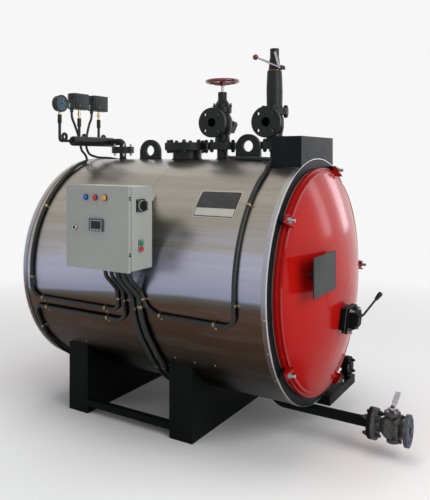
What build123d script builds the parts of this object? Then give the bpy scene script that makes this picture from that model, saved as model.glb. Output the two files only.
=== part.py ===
from build123d import *
import math
import os

# main sizes in mm: axis along X, rear door at +X, control panel at -Y, origin under the rear saddle
shell_r = 620
shell_length = 1500
under_shell = 176
shell_wall = 60
plate_t = 12
rear_x = 544.5
band_w = 28
band_t = 3
seat = 0.3
running_fit = 0.1

# end doors, measured inward from the shell's edge, and their clamps
door_inset = 45
door_flange_t = 20
gasket_t = 6
dish_inset = 30
dish_rise = 104
dish_t = 10
clamp_out = 15
clamp_count = 5
clamp_first = -36
stud_r = 8
burner_bore_r = 130
burner_flange_r = 210

# flue box, eyes and flanges on the crown
flue_half_y = 225
flue_length = 158
flue_rise = 114
flue_wall = 6
eye_w = 148
eye_hs = (118, 138)
eye_t = 20
eye_hole_r = 31
nozzle_rise = 74
flange_t = 20
dn50_flange_r = 82.5
dn50_pcd = 125
dn50_bore_r = 25
dn40_flange_r = 75
dn40_pcd = 110
dn40_bore_r = 20
dn40_flange_t = 18
dn32_flange_r = 70
flange_hole_r = 9
sharp_turn = math.radians(30)

# control panel
panel_w = 384
panel_h = 400
panel_depth = 165
panel_standoff = 13
panel_door_t = 18
panel_gap = 9
panel_rise = 95
sheet = 2

# base, blowdown and feed
saddle_half_y = 463
saddle_w = 136
saddle_wall = 8
tie_size = 36
tie_lift = 41
blow_pipe_r = 26
feed_pipe_r = 17
feed_flange_r = 57.5

# places that follow from the sizes
axis_z = under_shell + shell_r
crown_z = axis_z + shell_r
front_x = rear_x - shell_length
door_r = shell_r - door_inset
dish_r = door_r - dish_inset
clamp_r = door_r + clamp_out
door_face = gasket_t + door_flange_t
valve_joint_z = crown_z + nozzle_rise

axis = Pos(0, 0, axis_z)
rear_end = Pos(rear_x, 0, axis_z)
front_end = Pos(front_x, 0, axis_z)
to_rear = Rot(0, 90, 0)
to_front = Rot(0, -90, 0)
to_panel = Rot(90, 0, 0)
nodes = []


def rear(distance):
    """X of a station given as its distance in front of the rear rim"""
    return rear_x - distance


def box(x0, x1, y0, y1, z0, z1):
    size = (abs(x1 - x0), abs(y1 - y0), abs(z1 - z0))
    middle = ((x0 + x1) / 2, (y0 + y1) / 2, (z0 + z1) / 2)
    return Pos(*middle) * Box(*size)


def rod(start, end, r):
    along = Vector(*end) - Vector(*start)
    plane = Plane(origin=start, z_dir=along.normalized())
    return Part() + Solid.make_cylinder(r, along.length, plane)


def turned(outline, place=Location()):
    """Body turned round its place's Z axis from (radius, height) points; a third value rounds that corner"""
    points = [(point[0], point[1]) for point in outline]
    radii = [point[2] if len(point) > 2 else 0 for point in outline]
    face = make_face(FilletPolyline(*points, radius=radii, close=True))
    return place * revolve(Plane.XZ * face, axis=Axis.Z)


def pattern(count, pcd, first=45):
    """Centres of a bolt circle in the plane of its place"""
    return PolarLocations(pcd / 2, count, start_angle=first)


def drilled(body, place, spots, r, depth):
    """Body with round holes of a depth either side of its place's plane"""
    for spot in spots:
        body -= place * spot * Cylinder(r, 2 * depth)
    return body


def shell_space(clearance, x0=front_x - 250, x1=rear_x + 250):
    return rod((x0, 0, axis_z), (x1, 0, axis_z), shell_r + clearance)


def on_shell(x, angle, r):
    """Point at a radius from the boiler axis; the angle climbs from the panel side to the crown"""
    a = math.radians(angle)
    return (x, -r * math.cos(a), axis_z + r * math.sin(a))


def hug(stations, r, step=16):
    """Points of a line laid on the shell through (x, angle) stations, never dipping below radius r"""
    points = [on_shell(stations[0][0], stations[0][1], r)]
    for (x0, a0), (x1, a1) in zip(stations, stations[1:]):
        count = math.ceil(abs(a1 - a0) / step - 1e-6)
        for k in range(count):
            t = (2 * k + 1) / (2 * count)
            half = math.radians(abs(a1 - a0) / count / 2)
            points.append(on_shell(x0 + (x1 - x0) * t, a0 + (a1 - a0) * t, r / math.cos(half)))
        points.append(on_shell(x1, a1, r))
    return points


def bend_radii(points, largest):
    """Arc radius at each inner point: a sharp turn takes most of a run that it shares with a slight one"""
    runs = [Vector(*b) - Vector(*a) for a, b in zip(points, points[1:])]
    turns = [math.radians(a.get_angle(b)) for a, b in zip(runs, runs[1:])]
    sharp = [False] + [turn > sharp_turn for turn in turns] + [False]
    radii = []
    for k, turn in enumerate(turns):
        room = math.inf
        for run, other in ((runs[k], sharp[k]), (runs[k + 1], sharp[k + 2])):
            share = 0.45 if sharp[k + 1] == other else 0.8 if sharp[k + 1] else 0.15
            room = min(room, share * run.length)
        radius = room / math.tan(turn / 2)
        radii.append(min(largest, radius) if sharp[k + 1] else radius)
    return radii


def bent_rod(points, r, largest, name=""):
    radii = bend_radii(points, largest)
    path = FilletPolyline(*points, radius=radii)
    tube = sweep(Plane(origin=path @ 0, z_dir=path % 0) * Circle(r), path=path)
    if name:
        share = tube.volume / (math.pi * r ** 2 * path.length)
        shown = [round(value) for value in radii]
        print(name, "length", round(path.length), "radii", shown, "volume", round(share, 4))
    return tube


def strap(points, width, thickness, bend):
    """Flat bar bent in the XZ plane along its points"""
    path = FilletPolyline(*points, radius=[bend] * (len(points) - 2))
    section = Plane(origin=path @ 0, x_dir=(0, 1, 0), z_dir=path % 0) * Rectangle(width, thickness)
    return sweep(section, path=path)


def save(name, shape):
    nodes.append(name)
    export_step(Compound(children=list(shape.solids())), f"parts/{name}.step")


os.makedirs("parts", exist_ok=True)
cladding = shell_space(seat)

# insulated shell and its trim bands
tube_x0 = front_x + plate_t
tube_x1 = rear_x - plate_t
inner_shell_r = shell_r - shell_wall
save("shell", turned([(inner_shell_r, tube_x0), (shell_r, tube_x0), (shell_r, tube_x1), (inner_shell_r, tube_x1)],
                     axis * to_rear))
band_in_r = shell_r + seat
band_out_r = band_in_r + band_t
bands = Part()
for x0, x1 in ((front_x, front_x + band_w), (rear_x - band_w, rear_x)):
    bands += turned([(band_in_r, x0), (band_out_r, x0), (band_out_r, x1), (band_in_r, x1)], axis * to_rear)
save("trim_bands", bands)

# flue box on the crown, its rear face flush with the rear plate
flue_x0 = rear_x - flue_length
flue_top_z = crown_z + flue_rise
flue = box(flue_x0, rear_x, -flue_half_y, flue_half_y, axis_z, flue_top_z)
flue -= box(flue_x0 + flue_wall, rear_x - flue_wall, -flue_half_y + flue_wall, flue_half_y - flue_wall,
            axis_z - 1, flue_top_z + 1)
save("flue_box", flue - shell_space(seat + band_t + seat))

# clamps of the end doors, with x outward from the end plate and the first one at the panel side
pad_end = door_face - 2
pad_in_r = door_r + 3
pad_out_r = shell_r - 10
pad_half_w = 17
lug_in_r = dish_r + 16
lug_out_r = clamp_r + 16
lug_half_w = 23
lug_t = 12
cheek_t = 6
cheek_rise = 26
nut_t = 12


def clamp_pad():
    pad = box(-1, pad_end, -pad_out_r, -pad_in_r, -pad_half_w, pad_half_w)
    return fillet(pad.edges().filter_by(Axis.X).group_by(Axis.Y)[0], pad_half_w / 2)


def clamp_lug():
    foot = door_face + lug_t
    lug = box(door_face - 1, foot, -lug_out_r, -lug_in_r, -lug_half_w, lug_half_w)
    cheek = make_face(Polyline((foot - 1, -lug_out_r + 4), (foot + cheek_rise, -lug_in_r), (foot - 1, -lug_in_r),
                               close=True))
    for z in (-lug_half_w, lug_half_w - cheek_t):
        lug += Pos(0, 0, z) * extrude(cheek, amount=cheek_t)
    return lug - rod((door_face - 2, -clamp_r, 0), (foot + 1, -clamp_r, 0), stud_r + 1)


def clamp_stud():
    nut_foot = door_face + lug_t + seat
    stud = rod((pad_end + seat, -clamp_r, 0), (door_face + 46, -clamp_r, 0), stud_r)
    nut = extrude(RegularPolygon(radius=lug_half_w - cheek_t - 3, side_count=6), amount=nut_t)
    return stud + Pos(nut_foot, -clamp_r, 0) * to_rear * nut


def set_round(piece, angles, place, flip=False):
    """Copies of a clamp piece round an end door; the front end's copies are mirrored"""
    copies = Part()
    for angle in angles:
        copy = Rot(-angle, 0, 0) * piece
        copies += place * (mirror(copy, about=Plane.YZ) if flip else copy)
    return copies


rear_clamps = [clamp_first + 360 * k / clamp_count for k in range(clamp_count)]
front_clamp_spread = 13.5
front_clamps = [side + offset for side in (90, -90) for offset in (-front_clamp_spread, front_clamp_spread)]
studs = set_round(clamp_stud(), rear_clamps, rear_end) + set_round(clamp_stud(), front_clamps, front_end, True)
save("clamp_studs", studs)
save("rear_plate", shell_space(0, tube_x1, rear_x) + set_round(clamp_pad(), rear_clamps, rear_end))
save("front_plate", shell_space(0, front_x, tube_x0) + set_round(clamp_pad(), front_clamps, front_end, True))

# rear door: flange, raised ring and dished end in one section
ring_r = dish_r + 14
ring_x = door_face + 12
sphere_r = (dish_r ** 2 + dish_rise ** 2) / (2 * dish_rise)
sphere_x = ring_x + dish_rise - sphere_r
inner_r = sphere_r - dish_t
inner_edge = dish_r - 12
apex_x = sphere_x + sphere_r


def dish_at(r, radius):
    return sphere_x + math.sqrt(radius ** 2 - r ** 2)


outer = ThreePointArc((ring_x, dish_r), (dish_at(dish_r / 2, sphere_r), dish_r / 2), (apex_x, 0))
inner = ThreePointArc((apex_x - dish_t, 0), (dish_at(dish_r / 2, inner_r), dish_r / 2),
                      (dish_at(inner_edge, inner_r), inner_edge))
rim = Polyline((dish_at(inner_edge, inner_r), inner_edge), (gasket_t, dish_r - 30), (gasket_t, door_r),
               (door_face, door_r), (door_face, ring_r), (ring_x, ring_r), (ring_x, dish_r))
door = revolve(make_face(outer + Line((apex_x, 0), (apex_x - dish_t, 0)) + inner + rim), axis=Axis.X)
save("rear_door", rear_end * door + set_round(clamp_lug(), rear_clamps, rear_end))

# front door: flat, with the open flange that a burner is bolted to
burner_face = door_face + 60
neck_r = burner_flange_r - 42
burner_pcd = 2 * burner_flange_r - 40
burner_place = front_end * to_front
front_door = turned([(burner_bore_r, gasket_t), (door_r, gasket_t), (door_r, door_face, 3), (neck_r, door_face, 6),
                     (neck_r, burner_face - flange_t, 6), (burner_flange_r, burner_face - flange_t),
                     (burner_flange_r, burner_face), (burner_bore_r, burner_face)], burner_place)
front_door = drilled(front_door, burner_place * Pos(0, 0, burner_face), pattern(8, burner_pcd, 22.5), 7, flange_t + 1)
save("front_door", front_door + set_round(clamp_lug(), front_clamps, front_end, True))

# plain plate on stand-offs in front of the dish
sign_half_y = 145
sign_half_z = 92
sign_mid = (235 - dish_r, 92)
sign_t = 5
sign_x = apex_x + 4
sign = Rot(0, 90, 0) * extrude(RectangleRounded(2 * sign_half_z, 2 * sign_half_y, 10), amount=sign_t)
sign = Pos(sign_x, sign_mid[0], sign_mid[1]) * sign
for y in (sign_mid[0] - 50, sign_mid[0] + 50):
    sign += rod((sphere_x, y, sign_mid[1]), (sign_x + 1, y, sign_mid[1]), 9)
dish_space = Pos(sphere_x, 0, 0) * Sphere(sphere_r + seat)
save("door_plate", rear_end * (sign - dish_space))

# small inspection hatch low on the door, square to the dish
hatch_drop = 174
hatch_tilt = math.degrees(math.asin(hatch_drop / sphere_r))
hatch_place = rear_end * Pos(dish_at(hatch_drop, sphere_r), 0, -hatch_drop) * Rot(0, 90 + hatch_tilt, 0)
hatch_w = 130
hatch_l = 125
hatch_flange_t = 12
hatch_neck = 18
hatch_joint = hatch_neck + hatch_flange_t
packing_t = 3


def plate(w, l, z0, z1, corner=8):
    return Pos(0, 0, z0) * extrude(RectangleRounded(w, l, corner), amount=z1 - z0)


frame = plate(hatch_w - 18, hatch_l - 20, -12, hatch_neck + 1) + plate(hatch_w, hatch_l, hatch_neck, hatch_joint)
save("hatch_frame", hatch_place * frame - rear_end * dish_space)
packing = hatch_place * plate(hatch_w - 4, hatch_l - 4, hatch_joint, hatch_joint + packing_t)
cover_foot = hatch_joint + packing_t
cover_top = cover_foot + hatch_flange_t
boss_top = cover_top + 30
cover = plate(hatch_w, hatch_l, cover_foot, cover_top)
cover += Pos(-6, 0, 0) * plate(86, 84, cover_top - 1, boss_top, 6)
cover += Pos(-6, 0, 0) * plate(60, 60, boss_top - 1, boss_top + 8, 6)
handle_spot = (-34, -24)
spindle_r = 7
sink = 10
handle_place = Pos(handle_spot[0], handle_spot[1], boss_top - sink)
cover -= handle_place * Pos(0, 0, 20) * Cylinder(spindle_r + running_fit, 40)
save("hatch_cover", hatch_place * cover)
grip_end = (-98, 0, 88)
grip = bent_rod([(0, 0, seat), (0, 0, 34), grip_end], 5, 18)
grip += Pos(0, 0, seat + 5) * Cylinder(spindle_r, 10)
save("hatch_handle", hatch_place * handle_place * grip)
knob_dir = (Vector(*grip_end) - Vector(0, 0, 34)).normalized()
knob_place = Plane(origin=grip_end, z_dir=knob_dir)
knob = turned([(0, 0), (8, 0, 2), (11, 26, 12), (11, 46, 9), (0, 46)])
save("hatch_knob", hatch_place * handle_place * knob_place.location * knob)

# gaskets of both end doors and of the hatch
ring_face = [(dish_r - 30, 0), (door_r - 3, 0), (door_r - 3, gasket_t), (dish_r - 30, gasket_t)]
save("door_gaskets", turned(ring_face, rear_end * to_rear) + turned(ring_face, front_end * to_front) + packing)

# lifting eyes, each a plate with a round head
eye_xs = (rear(1057), rear(397))
eye_hole_drop = 66
eyes = Part()
for x, eye_h in zip(eye_xs, eye_hs):
    head_rise = eye_h - eye_w / 2
    outline = Pos(0, head_rise / 2 - 3) * Rectangle(eye_w, head_rise + 6) + Pos(0, head_rise) * Circle(eye_w / 2)
    outline -= Pos(0, eye_h - eye_hole_drop) * Circle(eye_hole_r)
    eyes += Pos(x, eye_t / 2, crown_z) * Rot(90, 0, 0) * extrude(outline, amount=eye_t)
save("lifting_eyes", eyes - cladding)

# handhole with its cover
handhole_x = rear(794)
handhole_r = 132
handhole_joint_z = valve_joint_z - 2
save("handhole_neck", turned([(0, crown_z - 40), (84, crown_z - 40), (84, handhole_joint_z - flange_t, 4),
                              (handhole_r, handhole_joint_z - flange_t), (handhole_r, handhole_joint_z),
                              (0, handhole_joint_z)], Pos(handhole_x, 0, 0)) - cladding)
save("handhole_cover", turned([(0, seat), (handhole_r, seat), (handhole_r, 23, 2), (70, 23), (66, 26), (0, 26)],
                              Pos(handhole_x, 0, handhole_joint_z)))

# flanged nozzles for the stop valve, the safety valve and the gauge stand
stop_x = rear(560)
safety_x = rear(242)
gauge_x = front_x + 229
gauge_joint_z = valve_joint_z - 17
nozzles = Part()
for x, pipe_r, flange_r, top in ((stop_x, 30, dn50_flange_r, valve_joint_z),
                                 (safety_x, 24, dn40_flange_r, valve_joint_z),
                                 (gauge_x, 21, dn32_flange_r, gauge_joint_z)):
    nozzles += turned([(0, crown_z - 20), (pipe_r, crown_z - 20), (pipe_r, top - flange_t, 4),
                       (flange_r, top - flange_t), (flange_r, top), (0, top)], Pos(x, 0, 0)) - cladding
save("crown_nozzles", nozzles)


def outlet_branch(place, reach, r):
    """Branch that ends in a drilled flange, from the valve's axis out along its place's Z"""
    branch = turned([(0, 0), (r, 0), (r, reach - flange_t, 8), (dn50_flange_r, reach - flange_t),
                     (dn50_flange_r, reach, 1.5), (0, reach)], place)
    return drilled(branch, place * Pos(0, 0, reach), pattern(4, dn50_pcd), flange_hole_r, flange_t + 1)


# steam stop valve, angle pattern: cast body, bonnet, rising stem and spoked wheel
stop_place = Pos(stop_x, 0, valve_joint_z)
stop_branch_rise = 127
stop_reach = 125
bonnet_rise = 204
stop_neck_r = 52
stem_r = 7
wheel_r = 88
wheel_rim_r = 10
wheel_rise = 364
spoke_count = 5
stop_body = turned([(0, seat), (dn50_flange_r, seat), (dn50_flange_r, flange_t), (44, flange_t, 8), (40, 62, 20),
                    (55, 100, 22), (55, 152, 22), (43, 176, 10), (43, bonnet_rise - 18, 3),
                    (stop_neck_r, bonnet_rise - 18), (stop_neck_r, bonnet_rise), (0, bonnet_rise)], stop_place)
outlet_place = stop_place * Pos(0, 0, stop_branch_rise) * to_panel
stop_body += outlet_branch(outlet_place, stop_reach, 40)
stop_body -= outlet_place * Pos(0, 0, stop_reach) * Cylinder(dn50_bore_r, 160)
save("stop_valve_body", stop_body)
bonnet_top = bonnet_rise + 100
bonnet = turned([(0, bonnet_rise + seat), (stop_neck_r, bonnet_rise + seat), (stop_neck_r, bonnet_rise + 16, 2),
                 (42, bonnet_rise + 16, 4), (40, bonnet_rise + 32, 8), (25, bonnet_rise + 56, 8),
                 (25, bonnet_top, 3), (0, bonnet_top)], stop_place)
bonnet -= stop_place * Pos(0, 0, bonnet_top) * Cylinder(stem_r + running_fit, 110)
save("stop_valve_bonnet", bonnet)
wheel_place = stop_place * Pos(0, 0, wheel_rise)
wheel = Torus(wheel_r, wheel_rim_r)
wheel += turned([(stem_r, -26), (15, -26, 2), (18, -14), (18, 2, 2), (12, 6), (stem_r, 6)])
spoke = bent_rod([(14, 0, -12), (46, 0, -12), (68, 0, 0), (wheel_r, 0, 0)], 6, 30)
for spot in PolarLocations(0, spoke_count, start_angle=18):
    wheel += spot * spoke
wheel -= Cylinder(stem_r, 80)
save("stop_handwheel", wheel_place * wheel)
stem_foot = bonnet_top - 54
save("stop_stem", turned([(0, stem_foot), (stem_r, stem_foot), (stem_r, wheel_rise + 14, 2), (0, wheel_rise + 14)],
                         stop_place))

# safety valve: body with side outlet, barrelled spring housing, collar and cap
safety_place = Pos(safety_x, 0, valve_joint_z)
safety_branch_rise = 121
safety_reach = 115
housing_rise = 181
housing_flange_r = 74
housing_top = housing_rise + 215
safety_body = turned([(0, seat), (dn40_flange_r, seat), (dn40_flange_r, flange_t), (46, flange_t, 8), (42, 60, 20),
                      (50, 96, 20), (50, 140, 20), (40, housing_rise - 20, 4), (housing_flange_r, housing_rise - 18),
                      (housing_flange_r, housing_rise), (0, housing_rise)], safety_place)
relief_place = safety_place * Pos(0, 0, safety_branch_rise) * to_panel
safety_body += outlet_branch(relief_place, safety_reach, 38)
safety_body -= relief_place * Pos(0, 0, safety_reach) * Cylinder(dn50_bore_r, 150)
save("safety_valve_body", safety_body)
save("safety_valve_housing", turned([(0, housing_rise + seat), (housing_flange_r, housing_rise + seat),
                                     (housing_flange_r, housing_rise + 16), (44, housing_rise + 18, 5),
                                     (42, housing_rise + 34, 3), (43.5, housing_rise + 118, 700),
                                     (39, housing_top, 2), (0, housing_top)], safety_place))
collar_top = housing_top + 8
save("safety_valve_collar", turned([(0, housing_top + seat), (37, housing_top + seat, 2), (37, collar_top, 2),
                                    (0, collar_top)], safety_place))
cap_r = 24
cap_foot = collar_top + seat
cap_h = 114
cap = turned([(0, cap_foot), (31, cap_foot), (31, cap_foot + 10), (26, cap_foot + 60, 4), (cap_r, cap_foot + 62),
              (cap_r, cap_foot + cap_h, 3), (0, cap_foot + cap_h)])
pivot_x = 42
pivot_rise = cap_foot + 8
pin_r = 5
ear_w = 12
for y in (-20, 20 - ear_w):
    cap += box(cap_r, pivot_x + 10, y, y + ear_w, cap_foot, pivot_rise + 12)
cap -= rod((pivot_x, -22, pivot_rise), (pivot_x, 22, pivot_rise), pin_r + running_fit)
save("safety_valve_cap", safety_place * cap)

# forked test lever on a pin behind the cap, with a leaning strap and a ball end
lever_place = safety_place * Pos(pivot_x, 0, pivot_rise)
arm_y = 40
bow = (-108, 52)
ball_at = (-154, 71)
grip_r = 5
lever = rod((0, -arm_y - 4, 0), (0, arm_y + 4, 0), pin_r)
for side in (-1, 1):
    lever += rod((0, side * arm_y, 0), (bow[0], side * arm_y, bow[1]), grip_r)
lever += rod((bow[0], -arm_y - 4, bow[1]), (bow[0], arm_y + 4, bow[1]), grip_r)
handle_end = (ball_at[0] + 12, 0, ball_at[1] - 6)
lever += rod((bow[0], 0, bow[1]), handle_end, grip_r)
lever += Pos(0, -cap_r - 7, 0) * strap([(2, 0, -6), (-10, 0, 30), (-26, 0, 84)], 4, 12, 60)
save("safety_lever", lever_place * lever)
ball = Pos(ball_at[0], 0, ball_at[1]) * Sphere(16) - rod((bow[0], 0, bow[1]), handle_end, grip_r + seat / 2)
save("safety_lever_ball", lever_place * ball)

# level probe behind the stop valve, its plug head leaning to the rear
probe_x = rear(605)
probe_y = 105
probe_r = 17
probe_turn_z = crown_z + 150
probe_lean = 50
probe_foot = axis_z + math.sqrt(shell_r ** 2 - probe_y ** 2)
head_place = Pos(probe_x, probe_y, probe_turn_z) * Rot(0, probe_lean, 0) * Pos(0, 0, 62) * Rot(0, 24 - probe_lean, 0)
head_foot = head_place * Pos(0, 0, -38)
probe = turned([(0, probe_foot - 20), (27, probe_foot - 20), (27, probe_foot + 30, 4), (probe_r, probe_foot + 34),
                (probe_r, probe_foot + 50), (0, probe_foot + 50)], Pos(probe_x, probe_y, 0))
probe += bent_rod([(probe_x, probe_y, probe_foot + 40), (probe_x, probe_y, probe_turn_z),
                   tuple(head_foot.position)], probe_r, 30)
save("level_probe", probe - cladding - head_foot * Pos(0, 0, 50) * Cylinder(60, 100))
head = fillet(Box(42, 48, 62).edges().filter_by(Axis.Y), 6)
head += Pos(0, 0, 31) * fillet(Box(36, 40, 12).edges().filter_by(Axis.Z), 5)
save("level_probe_head", head_place * Pos(0, 0, seat - 7) * head)

# gauge stand: capped manifold along Y, fed by a bent pipe from its own flange
manifold_x = front_x + 100
manifold_z = crown_z + 108
manifold_r = 29
manifold_near_y = -330
manifold_far_y = 62
stand = turned([(0, seat), (dn32_flange_r, seat), (dn32_flange_r, flange_t), (0, flange_t)],
               Pos(gauge_x, 0, gauge_joint_z))
stand += bent_rod([(gauge_x, 0, gauge_joint_z + 15), (gauge_x, 0, manifold_z), (manifold_x, 0, manifold_z)], 21, 42)
manifold_l = manifold_far_y - manifold_near_y
manifold_place = Pos(manifold_x, manifold_far_y, manifold_z) * to_panel
stand += turned([(0, 0), (manifold_r, 0, 14), (manifold_r, manifold_l, 14), (0, manifold_l)], manifold_place)
save("gauge_manifold", stand)

# pigtail siphons: each tube runs out along -Y, makes one full loop in the YZ plane and then rises
siphon_r = 8.5
loop_r = 21
loop_pitch = 2 * siphon_r + 2
corner_count = 8
coupling_r = 12.5
coupling_l = 52
gauge_y = -412
gauge_z = crown_z + 326
gauge_r = 50
gauge_back_r = gauge_r - 4
switch_ys = (-199, -14)
switch_foot_z = crown_z + 305
back_x = manifold_x - manifold_r - siphon_r - 1


def pigtail(x, start_y, centre_y, rise_y, z, top_z):
    points = [(x, start_y, z), (x, centre_y + loop_r / 2, z)]
    for k in range(corner_count):
        a = math.radians(-90 - 360 * (k + 0.5) / corner_count)
        reach = loop_r / math.cos(math.pi / corner_count)
        side = x - loop_pitch * (k + 0.5) / corner_count
        points.append((side, centre_y + reach * math.cos(a), z + loop_r + reach * math.sin(a)))
    end_x = x - loop_pitch
    points += [(end_x, rise_y, z), (end_x, rise_y, top_z)]
    return bent_rod(points, siphon_r, 30)


siphons = Part()
fittings = Part()
coupling_top_z = switch_foot_z - 53
for y in switch_ys:
    start_y = y + 77
    siphon = pigtail(back_x, start_y, y + 37, y, manifold_z, coupling_top_z)
    siphon += rod((manifold_x, start_y - 12, manifold_z), (back_x, start_y - 12, manifold_z), siphon_r + 2)
    x = back_x - loop_pitch
    siphon += rod((x, y, coupling_top_z - coupling_l), (x, y, coupling_top_z), coupling_r)
    siphons += siphon - rod((manifold_x, manifold_near_y, manifold_z), (manifold_x, manifold_far_y + 20, manifold_z),
                            manifold_r + seat)
    fittings += turned([(0, coupling_top_z + seat), (7, coupling_top_z + seat), (7, coupling_top_z + 18),
                        (11, coupling_top_z + 18, 1), (11, coupling_top_z + 34, 1), (7, coupling_top_z + 34),
                        (7, switch_foot_z - seat), (0, switch_foot_z - seat)], Pos(x, y, 0))
gauge_foot_z = gauge_z - gauge_r
gauge_stem_x = manifold_x - loop_pitch
siphons += pigtail(manifold_x, manifold_near_y - seat, -381, gauge_y, manifold_z, gauge_foot_z - 14)
siphons += rod((gauge_stem_x, gauge_y, gauge_foot_z - 66), (gauge_stem_x, gauge_y, gauge_foot_z - 14), coupling_r)
save("siphons", siphons)
fittings += turned([(0, seat), (9, seat), (9, 24), (0, 24)], Pos(gauge_stem_x, gauge_y, gauge_foot_z - 14))
gauge_place = Pos(gauge_stem_x, gauge_y, gauge_z) * to_rear
save("gauge_fittings", fittings - gauge_place * Cylinder(gauge_back_r + seat, 80))
save("pressure_gauge", turned([(0, -20), (gauge_back_r, -20, 4), (gauge_back_r, 10), (gauge_r, 10), (gauge_r, 22, 2),
                               (gauge_r - 5, 22), (gauge_r - 5, 14), (0, 14)], gauge_place))

# pressure switches on the siphons, covers on the side away from the rear
switch_x1 = back_x - loop_pitch + 20
switch_x0 = switch_x1 - 46
cover_t = 10
switch_half_y = 69
switch_h = 98
switches = Part()
covers = Part()
for y in switch_ys:
    body = box(switch_x0, switch_x1, y - switch_half_y, y + switch_half_y, switch_foot_z, switch_foot_z + switch_h)
    body = fillet(body.edges().filter_by(Axis.X), 5)
    knob = turned([(0, 0), (9, 0), (9, 6, 2), (0, 6)])
    body += Pos(switch_x0 + 24, y - switch_half_y + 0.5, switch_foot_z + switch_h - 22) * to_panel * knob
    body += Pos(switch_x0 + 14, y - switch_half_y + 14, switch_foot_z - 8) * Cylinder(11, 18)
    switches += body
    lid = box(switch_x0 - cover_t, switch_x0 - seat, y - switch_half_y + 3, y + switch_half_y - 3,
              switch_foot_z + 3, switch_foot_z + switch_h - 3)
    covers += fillet(lid.edges().filter_by(Axis.X), 5)
save("pressure_switches", switches)
save("switch_covers", covers)

# control panel: open sheet box, and a door leaf hinged on two pins at its rear edge
panel_mid_x = rear(787)
panel_x0 = panel_mid_x - panel_w / 2
panel_x1 = panel_mid_x + panel_w / 2
panel_bottom_z = axis_z + panel_rise
panel_top_z = panel_bottom_z + panel_h
body_y1 = -shell_r - panel_standoff
body_y0 = body_y1 - panel_depth
panel_front_y = body_y0 - panel_gap - panel_door_t
lip = 4
hinge_x = panel_x1 - 9
hinge_y = panel_front_y + 8
hinge_pin_r = 2.5
hinge_zs = (panel_bottom_z + 70, panel_top_z - 70)
panel = box(panel_x0 + lip, panel_x1 - lip, body_y0, body_y1, panel_bottom_z + lip, panel_top_z - lip)
panel -= box(panel_x0 + lip + sheet, panel_x1 - lip - sheet, body_y0 - 1, body_y1 - sheet,
             panel_bottom_z + lip + sheet, panel_top_z - lip - sheet)
leaf = box(panel_x0, panel_x1, panel_front_y, panel_front_y + panel_door_t, panel_bottom_z, panel_top_z)
leaf -= box(panel_x0 + sheet, panel_x1 - sheet, panel_front_y + sheet, panel_front_y + panel_door_t + 1,
            panel_bottom_z + sheet, panel_top_z - sheet)
for z in hinge_zs:
    arm = box(hinge_x - 4, hinge_x + 4, hinge_y - 3, body_y0 + 12, z + 11, z + 14)
    arm += box(hinge_x - 4, hinge_x + 5.5, body_y0 + 2, body_y0 + 12, z - 4, z + 14)
    arm += rod((hinge_x, hinge_y, z - 12), (hinge_x, hinge_y, z + 12), hinge_pin_r)
    panel += arm
    leaf -= box(hinge_x + 2, panel_x1 + 1, hinge_y - 5, body_y0, z + 4, z + 21)
    knuckle = rod((hinge_x, hinge_y, z - 10), (hinge_x, hinge_y, z + 10), 2 * hinge_pin_r)
    knuckle += box(hinge_x - 5, hinge_x + 5, panel_front_y + 1, hinge_y, z - 10, z + 10)
    leaf += knuckle - rod((hinge_x, hinge_y, z - 13), (hinge_x, hinge_y, z + 13), hinge_pin_r + running_fit / 2)
save("panel_box", panel)
save("panel_door", leaf)
brackets = Part()
for x in (panel_mid_x - 60, panel_mid_x + 60):
    for z in (panel_bottom_z + 40, panel_top_z - 90):
        brackets += box(x - 20, x + 20, body_y1 + seat, -shell_r / 2, z, z + 30) - cladding
save("panel_brackets", brackets)

# isolator and push buttons on the panel's rear side
side_x = panel_x1 - lip
side_y = body_y0 + 69
isolator_z = panel_top_z - 93
buttons_z = panel_bottom_z + 117
shaft_r = 8
to_side = Rot(0, 90, 0)
isolator_place = Pos(side_x, side_y, isolator_z) * to_side
base = extrude(RectangleRounded(60, 66, 5), amount=8 - seat)
base -= Pos(0, 0, 8) * Cylinder(shaft_r + running_fit / 2, 10)
save("isolator_plate", isolator_place * Pos(0, 0, seat) * base)
turn_knob = turned([(0, 4), (shaft_r, 4), (shaft_r, 13), (22, 13, 2), (22, 20, 2), (0, 20)])
turn_knob += Pos(0, 0, 19) * extrude(RectangleRounded(44, 14, 4), amount=19)
save("isolator_knob", isolator_place * turn_knob)
buttons_place = Pos(side_x, side_y, buttons_z) * to_side
buttons = Pos(0, 0, seat) * extrude(RectangleRounded(60, 32, 4), amount=6)
for x in (-14, 14):
    buttons += Pos(x, 0, 0) * turned([(0, 6 + 2 * seat), (11, 6 + 2 * seat), (11, 16, 2), (0, 16)])
save("push_buttons", buttons_place * buttons)

# lamps, controller and lock on the panel's door
lamp_rise = 343
lamp_r = 14.5
lamp_pitch = 59
lamps = Part()
for k in range(3):
    place = Pos(panel_mid_x - 6 + lamp_pitch * (k - 1), panel_front_y, panel_bottom_z + lamp_rise) * to_panel
    lamps += turned([(0, seat), (lamp_r, seat), (lamp_r, 6, 1), (12, 6), (12, 12, 6), (0, 17)], place)
save("panel_lamps", lamps)
controller_place = Pos(panel_mid_x - 3, panel_front_y, panel_bottom_z + 211) * to_panel
save("controller", controller_place * Pos(0, 0, seat) * extrude(RectangleRounded(96, 80, 4), amount=9))
lock_place = Pos(panel_x0 + 57, panel_front_y, panel_bottom_z + 195) * to_panel
save("panel_lock", turned([(0, seat), (12, seat), (12, 6, 1.5), (7, 6), (7, 10, 1), (0, 10)], lock_place))

# conduits from the panel's glands, clipped along the shell, and the cables from them to the switches
thin_r = 10.5
thick_r = 14
cable_r = 7.5
thin_lay = shell_r + seat + thin_r
thick_lay = shell_r + seat + thick_r
gland_y = body_y1 - 85
gland_z = panel_bottom_z + lip - seat
front_run = front_x + 78
under_run = front_x + 76
rear_run = rear_x - 156
probe_end_x = probe_x + 120


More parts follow.
